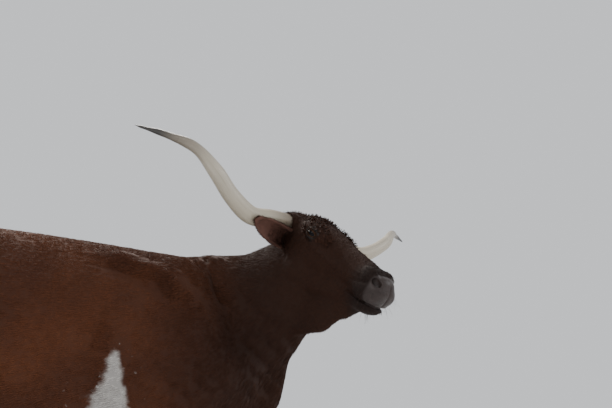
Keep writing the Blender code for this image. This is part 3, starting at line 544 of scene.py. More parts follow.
def hide_relief(points, normals, share):
    """How far ridges, folds, wrinkles, hollows and sinews rise from the smooth hide."""
    local = in_head(points)
    down, left, out = local.T
    x, y, z = points.T
    right = ramp(y, MID + 0.02, MID - 0.02)
    sideways = ramp(np.abs(normals[:, 1]), 0.25, 0.60)
    rise = rise_along(points[:, (0, 2)], BODY_LINES, right) * (1.0 - share) * sideways * ramp(z, 0.62, 0.72)
    turned = normals @ HEAD_FRAME
    face_side = ramp(np.abs(turned[:, 1]), 0.05, 0.35)
    lips = ramp(down, 0.44, 0.48) * ramp(out, -0.12, -0.135)
    rise += rise_along(local[:, (0, 2)], FACE_LINES, right) * share * np.maximum(face_side, lips)
    width, depth = NOSE_GROOVE
    rise -= depth * np.exp(-(left / width) ** 2) * ramp(down, 0.495, 0.515) * share
    rise -= POLL_DIP * ramp(down, 0.07, 0.03) * ramp(out, -0.05, -0.02) * share
    for place, reach, height in THROAT_LOBES:
        rise += height * np.exp(-(np.linalg.norm(points - np.array(place), axis=1) / reach) ** 2)
    for side, centre in EYE_CENTRES.items():
        aim, inward, up = eye_axes(side)
        away = points - np.array(centre)
        reach = np.linalg.norm(away, axis=1)
        above = ramp(away @ np.array(up) + 0.35 * away @ np.array(inward), -0.006, 0.010)
        under = 0.7 * ramp(away @ np.array(up), -0.006, -0.016)
        for radius, depth in LID_CREASES:
            rise -= depth * np.exp(-((reach - radius) / CREASE_WIDTH) ** 2) * np.maximum(above, under)
    along, height, long, tall, depth = FLANK_HOLLOW
    flank = np.sqrt(((x - along) / long) ** 2 + ((z - height) / tall) ** 2)
    rise -= depth * ramp(flank, 1.3, 0.2) * sideways * (1.0 - share)
    closeness, depth = THROAT_PLEATS
    neck_low = ramp(x, 0.40, 0.46) * ramp(out, -0.24, -0.28) * (1.0 - share)
    pleat = np.abs(np.sin(closeness * (z * 0.8 + x * 0.6)))
    rise -= depth * (1.0 - pleat) ** 2 * neck_low * sideways
    width, depth = SINEW_GROOVE
    for end, sinew in SINEW_PLACES.items():
        for side in SIDES:
            low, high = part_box(end + "_leg_" + side)
            leg = np.all((points > (*low[:2], SHANK[0])) & (points < (*high[:2], SHANK[1])), axis=1)
            spots = points[leg]
            shelf = np.round(spots[:, 2] / 0.02).astype(int)
            ties = np.maximum(np.bincount(shelf), 1)
            middle = (np.bincount(shelf, spots[:, 0]) / ties)[shelf]
            groove = np.exp(-((spots[:, 0] - middle - sinew) / width) ** 2)
            ends = ramp(spots[:, 2], 0.16, 0.20) * ramp(spots[:, 2], 0.44, 0.38)
            rise[leg] -= depth * groove * ends * sideways[leg]
    return rise


normals = normals_of(skin.data)
points = points + normals * hide_relief(points, normals, share)[:, None]
set_points(skin.data, points)

# Depth of the coat: none at the eyes, muzzle and thin ears, little on the face and lower legs
EAR_AXIS = [(0.034, 0.082, -0.110), (0.127, 0.292, -0.075)]
EAR_REACH = 0.064
EAR_MOUTH = (0.99, 0.09, -0.06)


def ear_share(points):
    """1 on the ears' leaves, which lie close to a line from their root to their tip."""
    local = in_head(points)
    local[:, 1] = np.abs(local[:, 1])
    away = line_distance(local, EAR_AXIS)
    return ramp(away, EAR_REACH, EAR_REACH - 0.008) * ramp(local[:, 1], 0.092, 0.120)


def muzzle_share(points):
    """1 on the bare skin of the nose and lips."""
    down, _, out = in_head(points).T
    edge = 0.462 + 0.25 * np.abs(out + 0.095)
    return ramp(down, edge - 0.006, edge + 0.006) * ramp(out, -0.158, -0.148)


def near_eye(points, reach):
    nearest = np.min([np.linalg.norm(points - np.array(c), axis=1) for c in EYE_CENTRES.values()], axis=0)
    return ramp(nearest, reach, reach * 0.75)


def sided(way, aside):
    """A direction at each point, the mirror image of itself on the other side."""
    ahead = np.ones(len(aside))
    return np.array(way) * np.stack([ahead, np.sign(aside), ahead], axis=1)


def inside_ear(points, normals):
    """1 on the hollow side of the ears."""
    turned = normals @ HEAD_FRAME
    facing = np.sum(turned * sided(EAR_MOUTH, in_head(points)[:, 1]), axis=1)
    return ramp(facing, 0.15, 0.45) * ramp(ear_share(points), 0.3, 0.7)


depth = COAT_DEPTH * (1.0 - 0.5 * share) * (1.0 - ear_share(points)) * (1.0 - muzzle_share(points))
depth *= 1.0 - near_eye(points, 0.06)
depth *= 0.4 + 0.6 * ramp(points[:, 2], 0.15, 0.60)
depth *= 1.0 - 0.7 * tail_share
set_points(skin.data, points - normals_of(skin.data) * depth[:, None])

# An unwrap of the skin's own shape, from which every tuft takes its place
bpy.context.view_layer.objects.active = skin
skin.select_set(True)
skin.data.uv_layers.new(name="SkinMap")
bpy.ops.object.mode_set(mode="EDIT")
bpy.ops.mesh.select_all(action="SELECT")
bpy.ops.uv.smart_project(angle_limit=math.radians(66), island_margin=0.002)
bpy.ops.object.mode_set(mode="OBJECT")
skin.data.shade_smooth()

# The colours of the coat and of the bare skin
RED = (0.098, 0.032, 0.013)
BROWN_RED = (0.062, 0.021, 0.010)
DEEP_RED = (0.042, 0.015, 0.008)
NEAR_BLACK = (0.020, 0.0095, 0.0065)
FACE_BLACK = (0.012, 0.008, 0.007)
ELBOW_WHITE = (0.36, 0.34, 0.32)
NOSE_DARK = (0.012, 0.008, 0.007)
NOSE_PALE = (0.034, 0.021, 0.018)
LID_BLACK = (0.010, 0.007, 0.006)
EAR_PINK = (0.15, 0.068, 0.050)
EAR_SHADE = (0.085, 0.040, 0.030)


def head_number(where, k):
    """One of a point's three numbers in the head's own frame."""
    return where.dot(tuple(HEAD.to_3x3().col[k])) + HEAD.inverted().translation[k]


def coat_colours(finish):
    """Dark red-brown, going near black towards the head and neck, on the lower legs and at the tail, with a
    white patch behind the elbows.
    """
    where = finish.place()
    along, height = where.number(0), where.number(2)
    face = head_number(where, 0)
    broad = finish.noise(where, 2.6, 2.0)
    patchy = finish.noise(where, 11.0, 3.0)
    fine = finish.noise(where, 90.0, 2.0)
    red = finish.mix(broad.between(0.35, 0.65), RED, BROWN_RED)
    red = finish.mix(fine * 0.5, red, DEEP_RED)
    dark = (along + broad * 0.30).between(0.16, 0.66)
    dark = dark.most((0.62 - height + patchy * 0.2).between(0.05, 0.35) * 0.85)
    tail = (-1.20 - along).between(0.0, 0.02) * (1.10 - height).between(0.0, 0.36)
    coat = finish.mix(dark.most(tail) * 0.85, red, NEAR_BLACK)
    coat = finish.mix((face + patchy * 0.06).between(0.40, 0.48) * 0.7, coat, FACE_BLACK)
    edge = (0.965 - height) * 0.40 + patchy * 0.10 + broad * 0.06 - 0.08
    slant = (height - 0.82).least(0.0) * 0.6
    from_girth = finish.node("ShaderNodeMath", {0: along - slant - 0.008}, operation="ABSOLUTE")
    patch = (edge - from_girth + fine * 0.016).between(-0.006, 0.022)
    halo = (edge - from_girth).between(-0.09, 0.02)
    speckle = finish.noise(where, 62.0, 1.0).between(0.71, 0.76) * halo
    white = patch.most(speckle) * height.between(0.62, 0.68)
    return finish.mix(white, coat, ELBOW_WHITE)


store(skin.data, "ear_inside", inside_ear(points, normals_of(skin.data)))
skin_finish = Finish("hide")
where = skin_finish.place()
bare = head_number(where, 0).between(0.468, 0.480) * head_number(where, 2).between(-0.158, -0.148)
cobble = skin_finish.node("ShaderNodeTexVoronoi", {"Vector": where, "Scale": 230.0}, feature="SMOOTH_F1")
nose = skin_finish.mix(skin_finish.noise(where, 45.0), NOSE_DARK, NOSE_PALE)
rim = 1.0
for centre in EYE_CENTRES.values():
    rim = (where - tuple(centre)).length().between(0.0285, 0.033) * rim
hide_colour = skin_finish.mix(bare, coat_colours(skin_finish), nose)
hide_colour = skin_finish.mix(1.0 - rim, hide_colour, LID_BLACK)
flesh = skin_finish.mix(skin_finish.noise(where, 38.0), EAR_PINK, EAR_SHADE)
hide_colour = skin_finish.mix(skin_finish.attribute("ear_inside"), hide_colour, flesh)
grain = skin_finish.noise(where, 420.0, 2.0)
wrinkle = skin_finish.noise(where, 60.0, 3.0)
relief = skin_finish.bump(grain * 0.5 + wrinkle, 0.0016)
relief = skin_finish.bump(cobble * bare, 0.0012, relief)
hide_colour = hide_colour * (0.70 + bare * 0.30)
moist = bare.most(1.0 - rim)
skin_finish.set(Base_Color=hide_colour, Roughness=0.84 - moist * 0.34, Specular_IOR_Level=0.16,
                Coat_Weight=moist * 0.20, Coat_Roughness=0.30, Normal=relief)
skin.data.materials.append(skin_finish.material)
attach(skin, BODY)
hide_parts(*FLESH)

# The eyes
# Dark brown balls with a wide, level pupil. The clear front of each bulges a little, as a real one does.
CORNEA_RISE = 0.0018
CORNEA_REACH = math.radians(34.0)
EYE_MAP_SCALE = 0.25
PUPIL_FLATNESS = 2.3

eye_finish = Finish("eye")
spot = eye_finish.node("ShaderNodeUVMap", uv_map="EyeMap") - (0.5, 0.5, 0.0)
ring = spot.length()
pupil = (spot * (1.0, PUPIL_FLATNESS, 1.0)).length()
iris = eye_finish.mix(eye_finish.noise(spot, 60.0, 4.0), (0.020, 0.009, 0.005), (0.060, 0.028, 0.014))
iris = eye_finish.mix(ring.between(0.19, 0.24), iris, (0.006, 0.004, 0.004))
ball = eye_finish.mix(ring.between(0.245, 0.27), iris, (0.07, 0.045, 0.038))
ball = eye_finish.mix(pupil.between(0.15, 0.17), (0.002, 0.002, 0.003), ball)
eye_finish.set(Base_Color=ball, Roughness=0.06, Specular_IOR_Level=0.14, IOR=1.38)


def eyeball(side):
    aim, level, _ = eye_axes(side)
    rise = aim.cross(level)
    bm = bmesh.new()
    bmesh.ops.create_uvsphere(bm, u_segments=48, v_segments=32, radius=1.0)
    bmesh.ops.transform(bm, matrix=Matrix((level, rise, aim)).transposed().to_4x4(), verts=bm.verts)
    layer = bm.loops.layers.uv.new("EyeMap")
    for v in bm.verts:
        bulge = CORNEA_RISE * max(0.0, 1.0 - (v.co.angle(aim) / CORNEA_REACH) ** 2)
        v.co = v.co * (EYE_RADIUS + bulge)
    for face in bm.faces:
        for loop in face.loops:
            way = loop.vert.co.normalized()
            flat = Vector((way.dot(level), way.dot(rise)))
            if way.dot(aim) < 0.0:
                flat = flat.normalized() * (2.0 - flat.length) if flat.length > 0.0001 else Vector((2.0, 0.0))
            loop[layer].uv = (0.5 + flat.x * EYE_MAP_SCALE, 0.5 + flat.y * EYE_MAP_SCALE)
    bmesh.ops.translate(bm, vec=Vector(EYE_CENTRES[side]), verts=bm.verts)
    return object_from("eyeball_" + side, bm, eye_finish)


for side in SIDES:
    piece = eyeball(side)
    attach(piece, BODY)
    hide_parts("eye_" + side)

# The horns
# Sheaths of horn that run out level from the poll, then up and back. Low rings mark the years near the root,
# and the dark tips are polished.
HORN_LINE = [
    (0.018, -0.055, -0.058),
    (0.025, -0.105, -0.056),
    (0.045, -0.190, -0.060),
    (0.064, -0.288, -0.071),
    (0.050, -0.380, -0.035),
    (0.026, -0.463, 0.021),
    (-0.025, -0.535, 0.061),
    (-0.070, -0.622, 0.060),
    (-0.093, -0.720, 0.047),
]
HORN_RADIUS = [(0.0, 0.0340), (0.15, 0.0325), (0.32, 0.0325), (0.55, 0.0275), (0.74, 0.0185), (0.88, 0.0105),
               (0.97, 0.0045), (1.0, 0.0008)]
HORN_RINGS, HORN_SIDES = 132, 40
YEAR_LENGTH, YEAR_RISE = 0.0085, 0.0007
FLUTES, FLUTE_RISE = 9, 0.0005


def smooth_line(points, count):
    """Even steps along a smooth curve through the given points."""
    points = np.array([2 * points[0] - points[1], *points, 2 * points[-1] - points[-2]])
    fine = []
    for p0, p1, p2, p3 in zip(points, points[1:], points[2:], points[3:]):
        t = np.linspace(0.0, 1.0, 24, endpoint=False)[:, None]
        fine.append(0.5 * (2 * p1 + (p2 - p0) * t + (2 * p0 - 5 * p1 + 4 * p2 - p3) * t * t
                           + (3 * p1 - p0 - 3 * p2 + p3) * t ** 3))
    fine = np.concatenate(fine + [points[-2:-1]])
    run = np.concatenate([[0.0], np.cumsum(np.linalg.norm(np.diff(fine, axis=0), axis=1))])
    steps = np.linspace(0.0, run[-1], count)
    return np.stack([np.interp(steps, run, fine[:, k]) for k in range(3)], axis=1), run[-1]


def eased(value, stops):
    places, sizes = np.array(stops).T
    k = np.clip(np.searchsorted(places, value) - 1, 0, len(stops) - 2)
    return sizes[k] + (sizes[k + 1] - sizes[k]) * ramp(value, places[k], places[k + 1])


def horn_piece(side):
    """A tapering tube whose rings are thickest near the root."""
    line, length = smooth_line(np.array(HORN_LINE) * (1.0, -SIDES[side], 1.0), HORN_RINGS)
    t = np.linspace(0.0, 1.0, HORN_RINGS)
    tangent = unit(np.gradient(line, axis=0))
    across = unit(np.cross(tangent, np.array([1.0, 0.0, 0.3])))
    rise = np.cross(across, tangent)
    turn = np.linspace(0.0, 2 * math.pi, HORN_SIDES, endpoint=False)
    years = np.sin(2 * math.pi * t * length / YEAR_LENGTH + 0.8 * np.sin(23.0 * t))[:, None]
    flutes = np.sin(FLUTES * turn + 6.0 * t[:, None])
    radius = eased(t, HORN_RADIUS)[:, None] + YEAR_RISE * years * ramp(t, 0.30, 0.08)[:, None]
    radius = radius + FLUTE_RISE * flutes * ramp(t, 0.7, 0.2)[:, None]
    ring = line[:, None, :] + across[:, None, :] * (np.cos(turn) * radius)[:, :, None]
    ring = ring + rise[:, None, :] * (np.sin(turn) * radius * 0.95)[:, :, None]
    bm = bmesh.new()
    layer = bm.loops.layers.uv.new("HornMap")
    place = np.array(HEAD)
    ring = ring @ place[:3, :3].T + place[:3, 3]
    loops = [[bm.verts.new(p) for p in row] for row in ring]
    for i in range(HORN_RINGS - 1):
        for j in range(HORN_SIDES):
            n = (j + 1) % HORN_SIDES
            face = bm.faces.new((loops[i][j], loops[i][n], loops[i + 1][n], loops[i + 1][j]))
            corners = ((i, j), (i, j + 1), (i + 1, j + 1), (i + 1, j))
            for loop, (row, column) in zip(face.loops, corners):
                loop[layer].uv = (t[row], column / HORN_SIDES)
    bm.faces.new(loops[0])
    bm.faces.new(loops[-1])
    bmesh.ops.recalc_face_normals(bm, faces=bm.faces)
    return object_from("horn_sheath_" + side, bm, horn_finish)


horn_finish = Finish("horn")
span = horn_finish.node("ShaderNodeUVMap", uv_map="HornMap")
reach = span.number(0)
where = horn_finish.place()
streaks = horn_finish.noise(span, 3.0, 5.0, stretch=(1.4, 16.0, 1.0))
clouds = horn_finish.noise(where, 14.0, 3.0)
shade = horn_finish.node("ShaderNodeValToRGB", {0: reach + (clouds - 0.5) * 0.10}, stops=[
    (0.0, (0.050, 0.040, 0.030)), (0.10, (0.17, 0.135, 0.095)), (0.24, (0.33, 0.285, 0.215)),
    (0.62, (0.36, 0.32, 0.255)), (0.80, (0.16, 0.135, 0.105)), (0.90, (0.022, 0.019, 0.017))])
horn_colour = horn_finish.mix(streaks.between(0.45, 0.80) * 0.40, shade, (0.10, 0.080, 0.058))
scurf = horn_finish.noise(where, 160.0, 3.0)
horn_relief = horn_finish.bump(streaks * 0.7 + scurf * reach.between(0.3, 0.0) + scurf * 0.15, 0.0012)
horn_finish.set(Base_Color=horn_colour, Roughness=0.52 - reach.between(0.25, 0.9) * 0.26, Normal=horn_relief)
for side in SIDES:
    piece = horn_piece(side)
    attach(piece, BODY)
    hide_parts("horn_" + side)

# The hooves
# Two claws of dark horn on each foot, with growth rings round the wall and a flat sole, and two small
# dewclaws behind the fetlock.
hoof_finish = Finish("hoof")
where = hoof_finish.place()
height = where.number(2)
wander = hoof_finish.noise(where, 18.0, 2.0)
growth = {"W": height * 170.0 + wander * 2.0, "Scale": 1.0, "Detail": 2.0}
bands = hoof_finish.node("ShaderNodeTexNoise", growth, noise_dimensions="1D")
grit = hoof_finish.noise(where, 220.0, 3.0)
hoof_colour = hoof_finish.mix(bands.between(0.35, 0.65), (0.020, 0.016, 0.014), (0.045, 0.036, 0.030))
hoof_colour = hoof_finish.mix(height.between(0.016, 0.0) * 0.6, hoof_colour, (0.16, 0.14, 0.115))
hoof_relief = hoof_finish.bump(bands + grit * 0.25, 0.0012)
hoof_finish.set(Base_Color=hoof_colour, Roughness=0.42 + grit * 0.25, Normal=hoof_relief)
for words in itertools.product(("fore", "hind"), ("claw", "dewclaw"), ("inner", "outer"), SIDES):
    name = "_".join(words)
    bm = bmesh.new()
    bm.from_mesh(nodes[name].data)
    bmesh.ops.remove_doubles(bm, verts=bm.verts, dist=MERGE_GAP)
    piece = object_from("horn_" + name, bm)
    rounder = piece.modifiers.new("Round", "SUBSURF")
    rounder.levels = rounder.render_levels = 3
    apply_modifiers(piece)
    piece.data.shade_smooth()
    piece.data.materials.append(hoof_finish.material)
    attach(piece, BODY)
    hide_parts(name)

# The coat
# Short hair that lies flat over the whole hide, in small tufts that follow its lie: back along the trunk,
# down the legs and cheeks. It is shortest on the face and lower legs.
TUFT_PATCH = 0.003
TUFT_BLADES = 6
CURL_LOCKS = 4
CURL_STEPS = 7
HAIR_CROWD = 1.6
TRUNK_HAIR, LEG_HAIR, FACE_HAIR, EAR_HAIR = 0.019, 0.013, 0.012, 0.026


def turned_to(first, second, share):
    return first + (second - first) * share[:, None]


def lie_of(points, normals):
    """The way the hair lies at each point of the hide, along its surface."""
    down, left, out = in_head(points).T
    x, y, z = (points - (WITHERS, MID, 0.0)).T
    head = head_share(points)[:, None]
    body = turned_to(sided((-1.0, 0.30, -0.38), y), np.array([-0.62, 0.42, -0.66]), ramp(x, 0.12, 0.34))
    body = turned_to(body, np.array([-0.10, 0.0, -1.0]), ramp(z, 0.86, 0.66))
    body = turned_to(body, np.array([0.0, 0.0, -1.0]), ramp(x, -1.10, -1.20))
    face = turned_to(np.array([1.0, 0.0, -0.15]), np.array([-0.30, 0.0, -1.0]), ramp(out, -0.045, -0.11))
    face = turned_to(face, sided((-0.6, 0.8, -0.3), left), ramp(down, 0.10, 0.02))
    face = turned_to(face, sided((0.40, 0.90, 0.15), left), ear_share(points))
    lie = unit(body) * (1.0 - head) + unit(face) @ HEAD_FRAME.T * head
    return unit(lie - normals * np.sum(lie * normals, axis=1)[:, None])


def blade_bunch(name, blades, seed):
    """One tuft: slim blades that fan out a little from one root, each a closed, tapered wedge."""
    draw = np.random.default_rng(seed)
    bm = bmesh.new()
    spot = bm.verts.layers.float_vector.new("blade_spot")
    for k in range(blades):
        share = (k + 0.5) / blades - 0.5
        root = Vector((share * 1.5 + draw.uniform(-0.12, 0.12), draw.uniform(-0.12, 0.20), -0.06))
        spread = share * 2.4 + draw.uniform(-0.4, 0.4)
        tip = Vector((spread, draw.uniform(0.78, 1.12), draw.uniform(0.0, 0.1)))
        width = draw.uniform(0.08, 0.13)
        tone = draw.uniform(0.0, 1.0)
        base = [bm.verts.new(root + Vector(c)) for c in ((-width, 0, 0), (width, 0, 0), (0, 0.30, 0.13))]
        end = bm.verts.new(tip)
        for v in base:
            v[spot] = Vector((k / blades, 0.0, tone))
        end[spot] = Vector(((k + 0.8) / blades, 1.0, tone))
        bm.faces.new(base)
        for a, b in ((0, 1), (1, 2), (2, 0)):
            bm.faces.new((base[a], base[b], end))
    bmesh.ops.recalc_face_normals(bm, faces=bm.faces)
    return object_from(name, bm)


def curl_bunch(name, curls, seed):
    """One curl of the forehead: locks that rise from one root and roll over, closed and tapered."""
    draw = np.random.default_rng(seed)
    bm = bmesh.new()
    spot = bm.verts.layers.float_vector.new("blade_spot")
    for k in range(curls):
        share = (k + 0.5) / curls - 0.5
        roll = draw.uniform(2.6, 4.4)
        lean = draw.uniform(-0.5, 0.5)
        wide = draw.uniform(0.055, 0.085)
        tone = draw.uniform(0.0, 1.0)
        rings = []
        for j in range(CURL_STEPS):
            t = j / (CURL_STEPS - 1)
            turn = roll * t
            middle = Vector((share * 0.8 + lean * t, 0.50 * math.sin(turn) + 0.35 * t,
                             0.40 * (1 - math.cos(turn)) - 0.05))
            size = wide * (1.0 - 0.9 * t ** 2)
            aside = Vector((size, 0, 0))
            out = Vector((0.0, -math.cos(turn), -math.sin(turn)))
            ring = [bm.verts.new(c) for c in (middle + aside, middle - aside, middle + out * size * 0.8)]
            for v in ring:
                v[spot] = Vector((k / curls, t, tone))
            rings.append(ring)
        bm.faces.new(rings[0])
        bm.faces.new(rings[-1])
        for low, high in zip(rings, rings[1:]):
            for a, b in ((0, 1), (1, 2), (2, 0)):
                bm.faces.new((low[a], low[b], high[b], high[a]))
    bmesh.ops.recalc_face_normals(bm, faces=bm.faces)
    return object_from(name, bm)


def coat_tree():
    """Sets tufts over a skin at their spacing, turned to its lie, and leaves them as one mesh."""
    tree = bpy.data.node_groups.new("coat_of_tufts", "GeometryNodeTree")
    sockets = {"Skin": "Geometry", "Tuft": "Object", "Spacing": "Float", "Thickness": "Float",
               "Lift": "Float", "Disorder": "Float", "Seed": "Int", "Finish": "Material"}
    for name, kind in sockets.items():
        tree.interface.new_socket(name, in_out="INPUT", socket_type="NodeSocket" + kind)
    tree.interface.new_socket("Coat", in_out="OUTPUT", socket_type="NodeSocketGeometry")
    given = tree.nodes.new("NodeGroupInput").outputs

    def node(kind, inputs, **settings):
        return make_node(tree, kind, inputs, settings).outputs

    def named(name, kind):
        return node("GeometryNodeInputNamedAttribute", {"Name": name}, data_type=kind)["Attribute"]

    def maths(operation, first, second, kind="Math", out="Value"):
        return node("ShaderNode" + kind, {0: first, 1: second}, operation=operation)[out]

    def total(first, second):
        return maths("ADD", first, second, "VectorMath", "Vector")

    def scaled(vector, amount):
        return node("ShaderNodeVectorMath", {"Vector": vector, "Scale": amount}, operation="SCALE")["Vector"]

    def luck(low, high, seed):
        return node("FunctionNodeRandomValue", {2: low, 3: high, "Seed": seed}, data_type="FLOAT")[1]

    crowd = maths("DIVIDE", HAIR_CROWD, maths("MULTIPLY", given["Spacing"], given["Spacing"]))
    roots = node("GeometryNodeDistributePointsOnFaces",
                 {"Mesh": given["Skin"], "Distance Min": given["Spacing"], "Density Max": crowd,
                  "Density Factor": named("growth", "FLOAT"), "Seed": given["Seed"]},
                 distribute_method="POISSON")
    stray = node("FunctionNodeRandomValue", {"Min": (-1, -1, -1), "Max": (1, 1, 1), "Seed": given["Seed"]},
                 data_type="FLOAT_VECTOR")[0]
    way = total(named("lie", "FLOAT_VECTOR"), scaled(stray, given["Disorder"]))
    way = total(way, scaled(roots["Normal"], given["Lift"]))
    turn = node("FunctionNodeAxesToRotation", {"Primary Axis": way, "Secondary Axis": roots["Normal"]},
                primary_axis="Y", secondary_axis="Z")["Rotation"]
    run = maths("MULTIPLY", named("hair_length", "FLOAT"), luck(0.75, 1.25, given["Seed"]))
    thickness = given["Thickness"]
    size = node("ShaderNodeCombineXYZ", {"X": thickness, "Y": run, "Z": thickness})["Vector"]
    tuft = node("GeometryNodeObjectInfo", {"Object": given["Tuft"]})["Geometry"]
    coat = node("GeometryNodeInstanceOnPoints",
                {"Points": roots["Points"], "Instance": tuft, "Rotation": turn, "Scale": size})["Instances"]
    coat = node("GeometryNodeStoreNamedAttribute",
                {"Geometry": coat, "Name": "tuft_tone", "Value": luck(0.0, 1.0, 7)},
                data_type="FLOAT", domain="INSTANCE")["Geometry"]
    coat = node("GeometryNodeRealizeInstances", {"Geometry": coat})["Geometry"]
    spot = total(named("SkinMap", "FLOAT_VECTOR"), scaled(named("blade_spot", "FLOAT_VECTOR"), TUFT_PATCH))
    coat = node("GeometryNodeStoreNamedAttribute", {"Geometry": coat, "Name": "OFBake", "Value": spot},
                data_type="FLOAT2", domain="CORNER")["Geometry"]
    for name in ("SkinMap", "lie", "growth", "hair_length"):
        coat = node("GeometryNodeRemoveAttribute", {"Geometry": coat, "Name": name})["Geometry"]
    coat = node("GeometryNodeSetMaterial", {"Geometry": coat, "Material": given["Finish"]})["Geometry"]
    tree.links.new(coat, tree.nodes.new("NodeGroupOutput").inputs["Coat"])
    return tree


coat_finish = Finish("coat")
blade_spot = coat_finish.attribute("blade_spot", "Vector")
tone = 0.86 + blade_spot.number(2) * 0.34 + coat_finish.attribute("tuft_tone") * 0.20
tone = tone * (0.88 + blade_spot.number(1) * 0.45)
coat_finish.set(Base_Color=coat_colours(coat_finish) * tone, Roughness=0.62, Specular_IOR_Level=0.09)

points = points_of(skin.data)
normals = normals_of(skin.data)
edges = edges_of(skin.data)
lie = unit(relax(lie_of(points, normals), edges, 8, np.full(len(points), 0.5)))
share = head_share(points)
off_head = 1.0 - share
down, left, out = in_head(points).T
aside = np.abs(left)
x, y, z = (points - (WITHERS, MID, 0.0)).T
hair = TRUNK_HAIR * np.ones(len(points))
hair += (LEG_HAIR - hair) * ramp(z, 0.75, 0.45)
hair += (FACE_HAIR - hair) * share
hair += 0.010 * share * ramp(down, 0.14, 0.04)
hair += 0.008 * ramp(x, 0.15, 0.45) * off_head
low_side = ramp(normals[:, 2], -0.55, -0.85)
hair += 0.022 * low_side * ramp(x, 0.22, 0.34) * ramp(z, 0.60, 0.70) * off_head
hair += 0.030 * low_side * ramp(np.abs(x + 0.56), 0.16, 0.05) * ramp(np.abs(y), 0.07, 0.03)
hair += 0.010 * ramp(z, 0.100, 0.080)
hair += 0.016 * ramp(z, 0.20, 0.17) * ramp(z, 0.125, 0.14) * ramp(normals[:, 0], -0.3, -0.7)
ear_hollow = inside_ear(points, normals)
haired = np.maximum.reduce([muzzle_share(points), near_eye(points, 0.0300), ear_hollow]) < 0.5

store(skin.data, "lie", lie, "FLOAT_VECTOR")
store(skin.data, "hair_length", hair)
tuft = blade_bunch("tuft", TUFT_BLADES, 5)
curl = curl_bunch("curl", CURL_LOCKS, 8)
tree = coat_tree()
right = ramp(y, 0.01, -0.01)
fore = (x > -0.41)
neck = off_head * (x > 0.18)
legs = off_head * (z < 0.70) * (x < 0.45) * ((np.abs(y) > 0.07) & ((x > -0.15) | (x < -0.75)))
trunk = off_head * (1.0 - neck) * (1.0 - legs)
crown = ramp(down, 0.160, 0.135) * ramp(out, -0.075, -0.050) * ramp(aside, 0.085, 0.065)
brows = ramp(np.abs(down - 0.186), 0.068, 0.052) * ramp(out, -0.060, -0.045) * ramp(aside, 0.040, 0.055)
crown = share * np.maximum(crown, brows) * haired
brow_rise = 0.008 * ramp(down, 0.12, 0.15) + 0.006 * ramp(down, 0.16, 0.20)
curl_length = 0.010 + 0.005 * ramp(down, 0.04, 0.12)
curl_length += ramp(aside, 0.045, 0.070) * brow_rise
ear_fringe = ear_hollow * (aside < 0.20)


def grow(name, region, spacing, thickness, seed, bunch=tuft, lift=0.10, disorder=0.13):
    """Grows one part of the coat over the region where the share is above a half."""
    store(skin.data, "growth", region > 0.5)
    bed = new_object(name, skin.data.copy())
    growth = bed.modifiers.new("Coat", "NODES")
    growth.node_group = tree
    values = {"Tuft": bunch, "Spacing": spacing, "Thickness": thickness, "Lift": lift, "Disorder": disorder,
              "Seed": seed, "Finish": coat_finish.material}
    for item in tree.interface.items_tree:
        if item.in_out == "INPUT" and item.name in values:
            growth[item.identifier] = values[item.name]
    apply_modifiers(bed)
    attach(bed, BODY)


grow("coat_face", share * haired, 0.0061, 0.0050, 11)
grow("coat_neck", neck * haired, 0.0068, 0.0060, 12)
grow("coat_shoulder_right", trunk * right * fore * haired, 0.0062, 0.0058, 13)
grow("coat_shoulder_left", trunk * (1 - right) * fore * haired, 0.0062, 0.0058, 14)
grow("coat_rump_right", trunk * right * (1 - fore) * haired, 0.0077, 0.0066, 15)
grow("coat_rump_left", trunk * (1 - right) * (1 - fore) * haired, 0.0077, 0.0066, 16)
grow("coat_legs", legs * haired, 0.0069, 0.0056, 17)
store(skin.data, "hair_length", curl_length)
grow("coat_crown", crown, 0.0080, 0.0110, 18, curl, 0.30, 0.50)
store(skin.data, "hair_length", np.full(len(points), EAR_HAIR))
grow("coat_ears", ear_fringe, 0.0062, 0.0028, 19, tuft, 0.45, 0.25)
bpy.data.objects.remove(tuft)
bpy.data.objects.remove(curl)

# The tassel of the tail
# Long, coarse, nearly black hair that hangs in locks from the last third of the tail. Its locks part at the
# ends, and each strand tapers to a point.
STRAND_STEPS = 10
STRAND_FLATNESS = 0.55
STRAND_TAPER = 0.93
SWITCH_CLUMPS = 44
SWITCH_STRANDS = 26
SWITCH_REACH = 0.0135


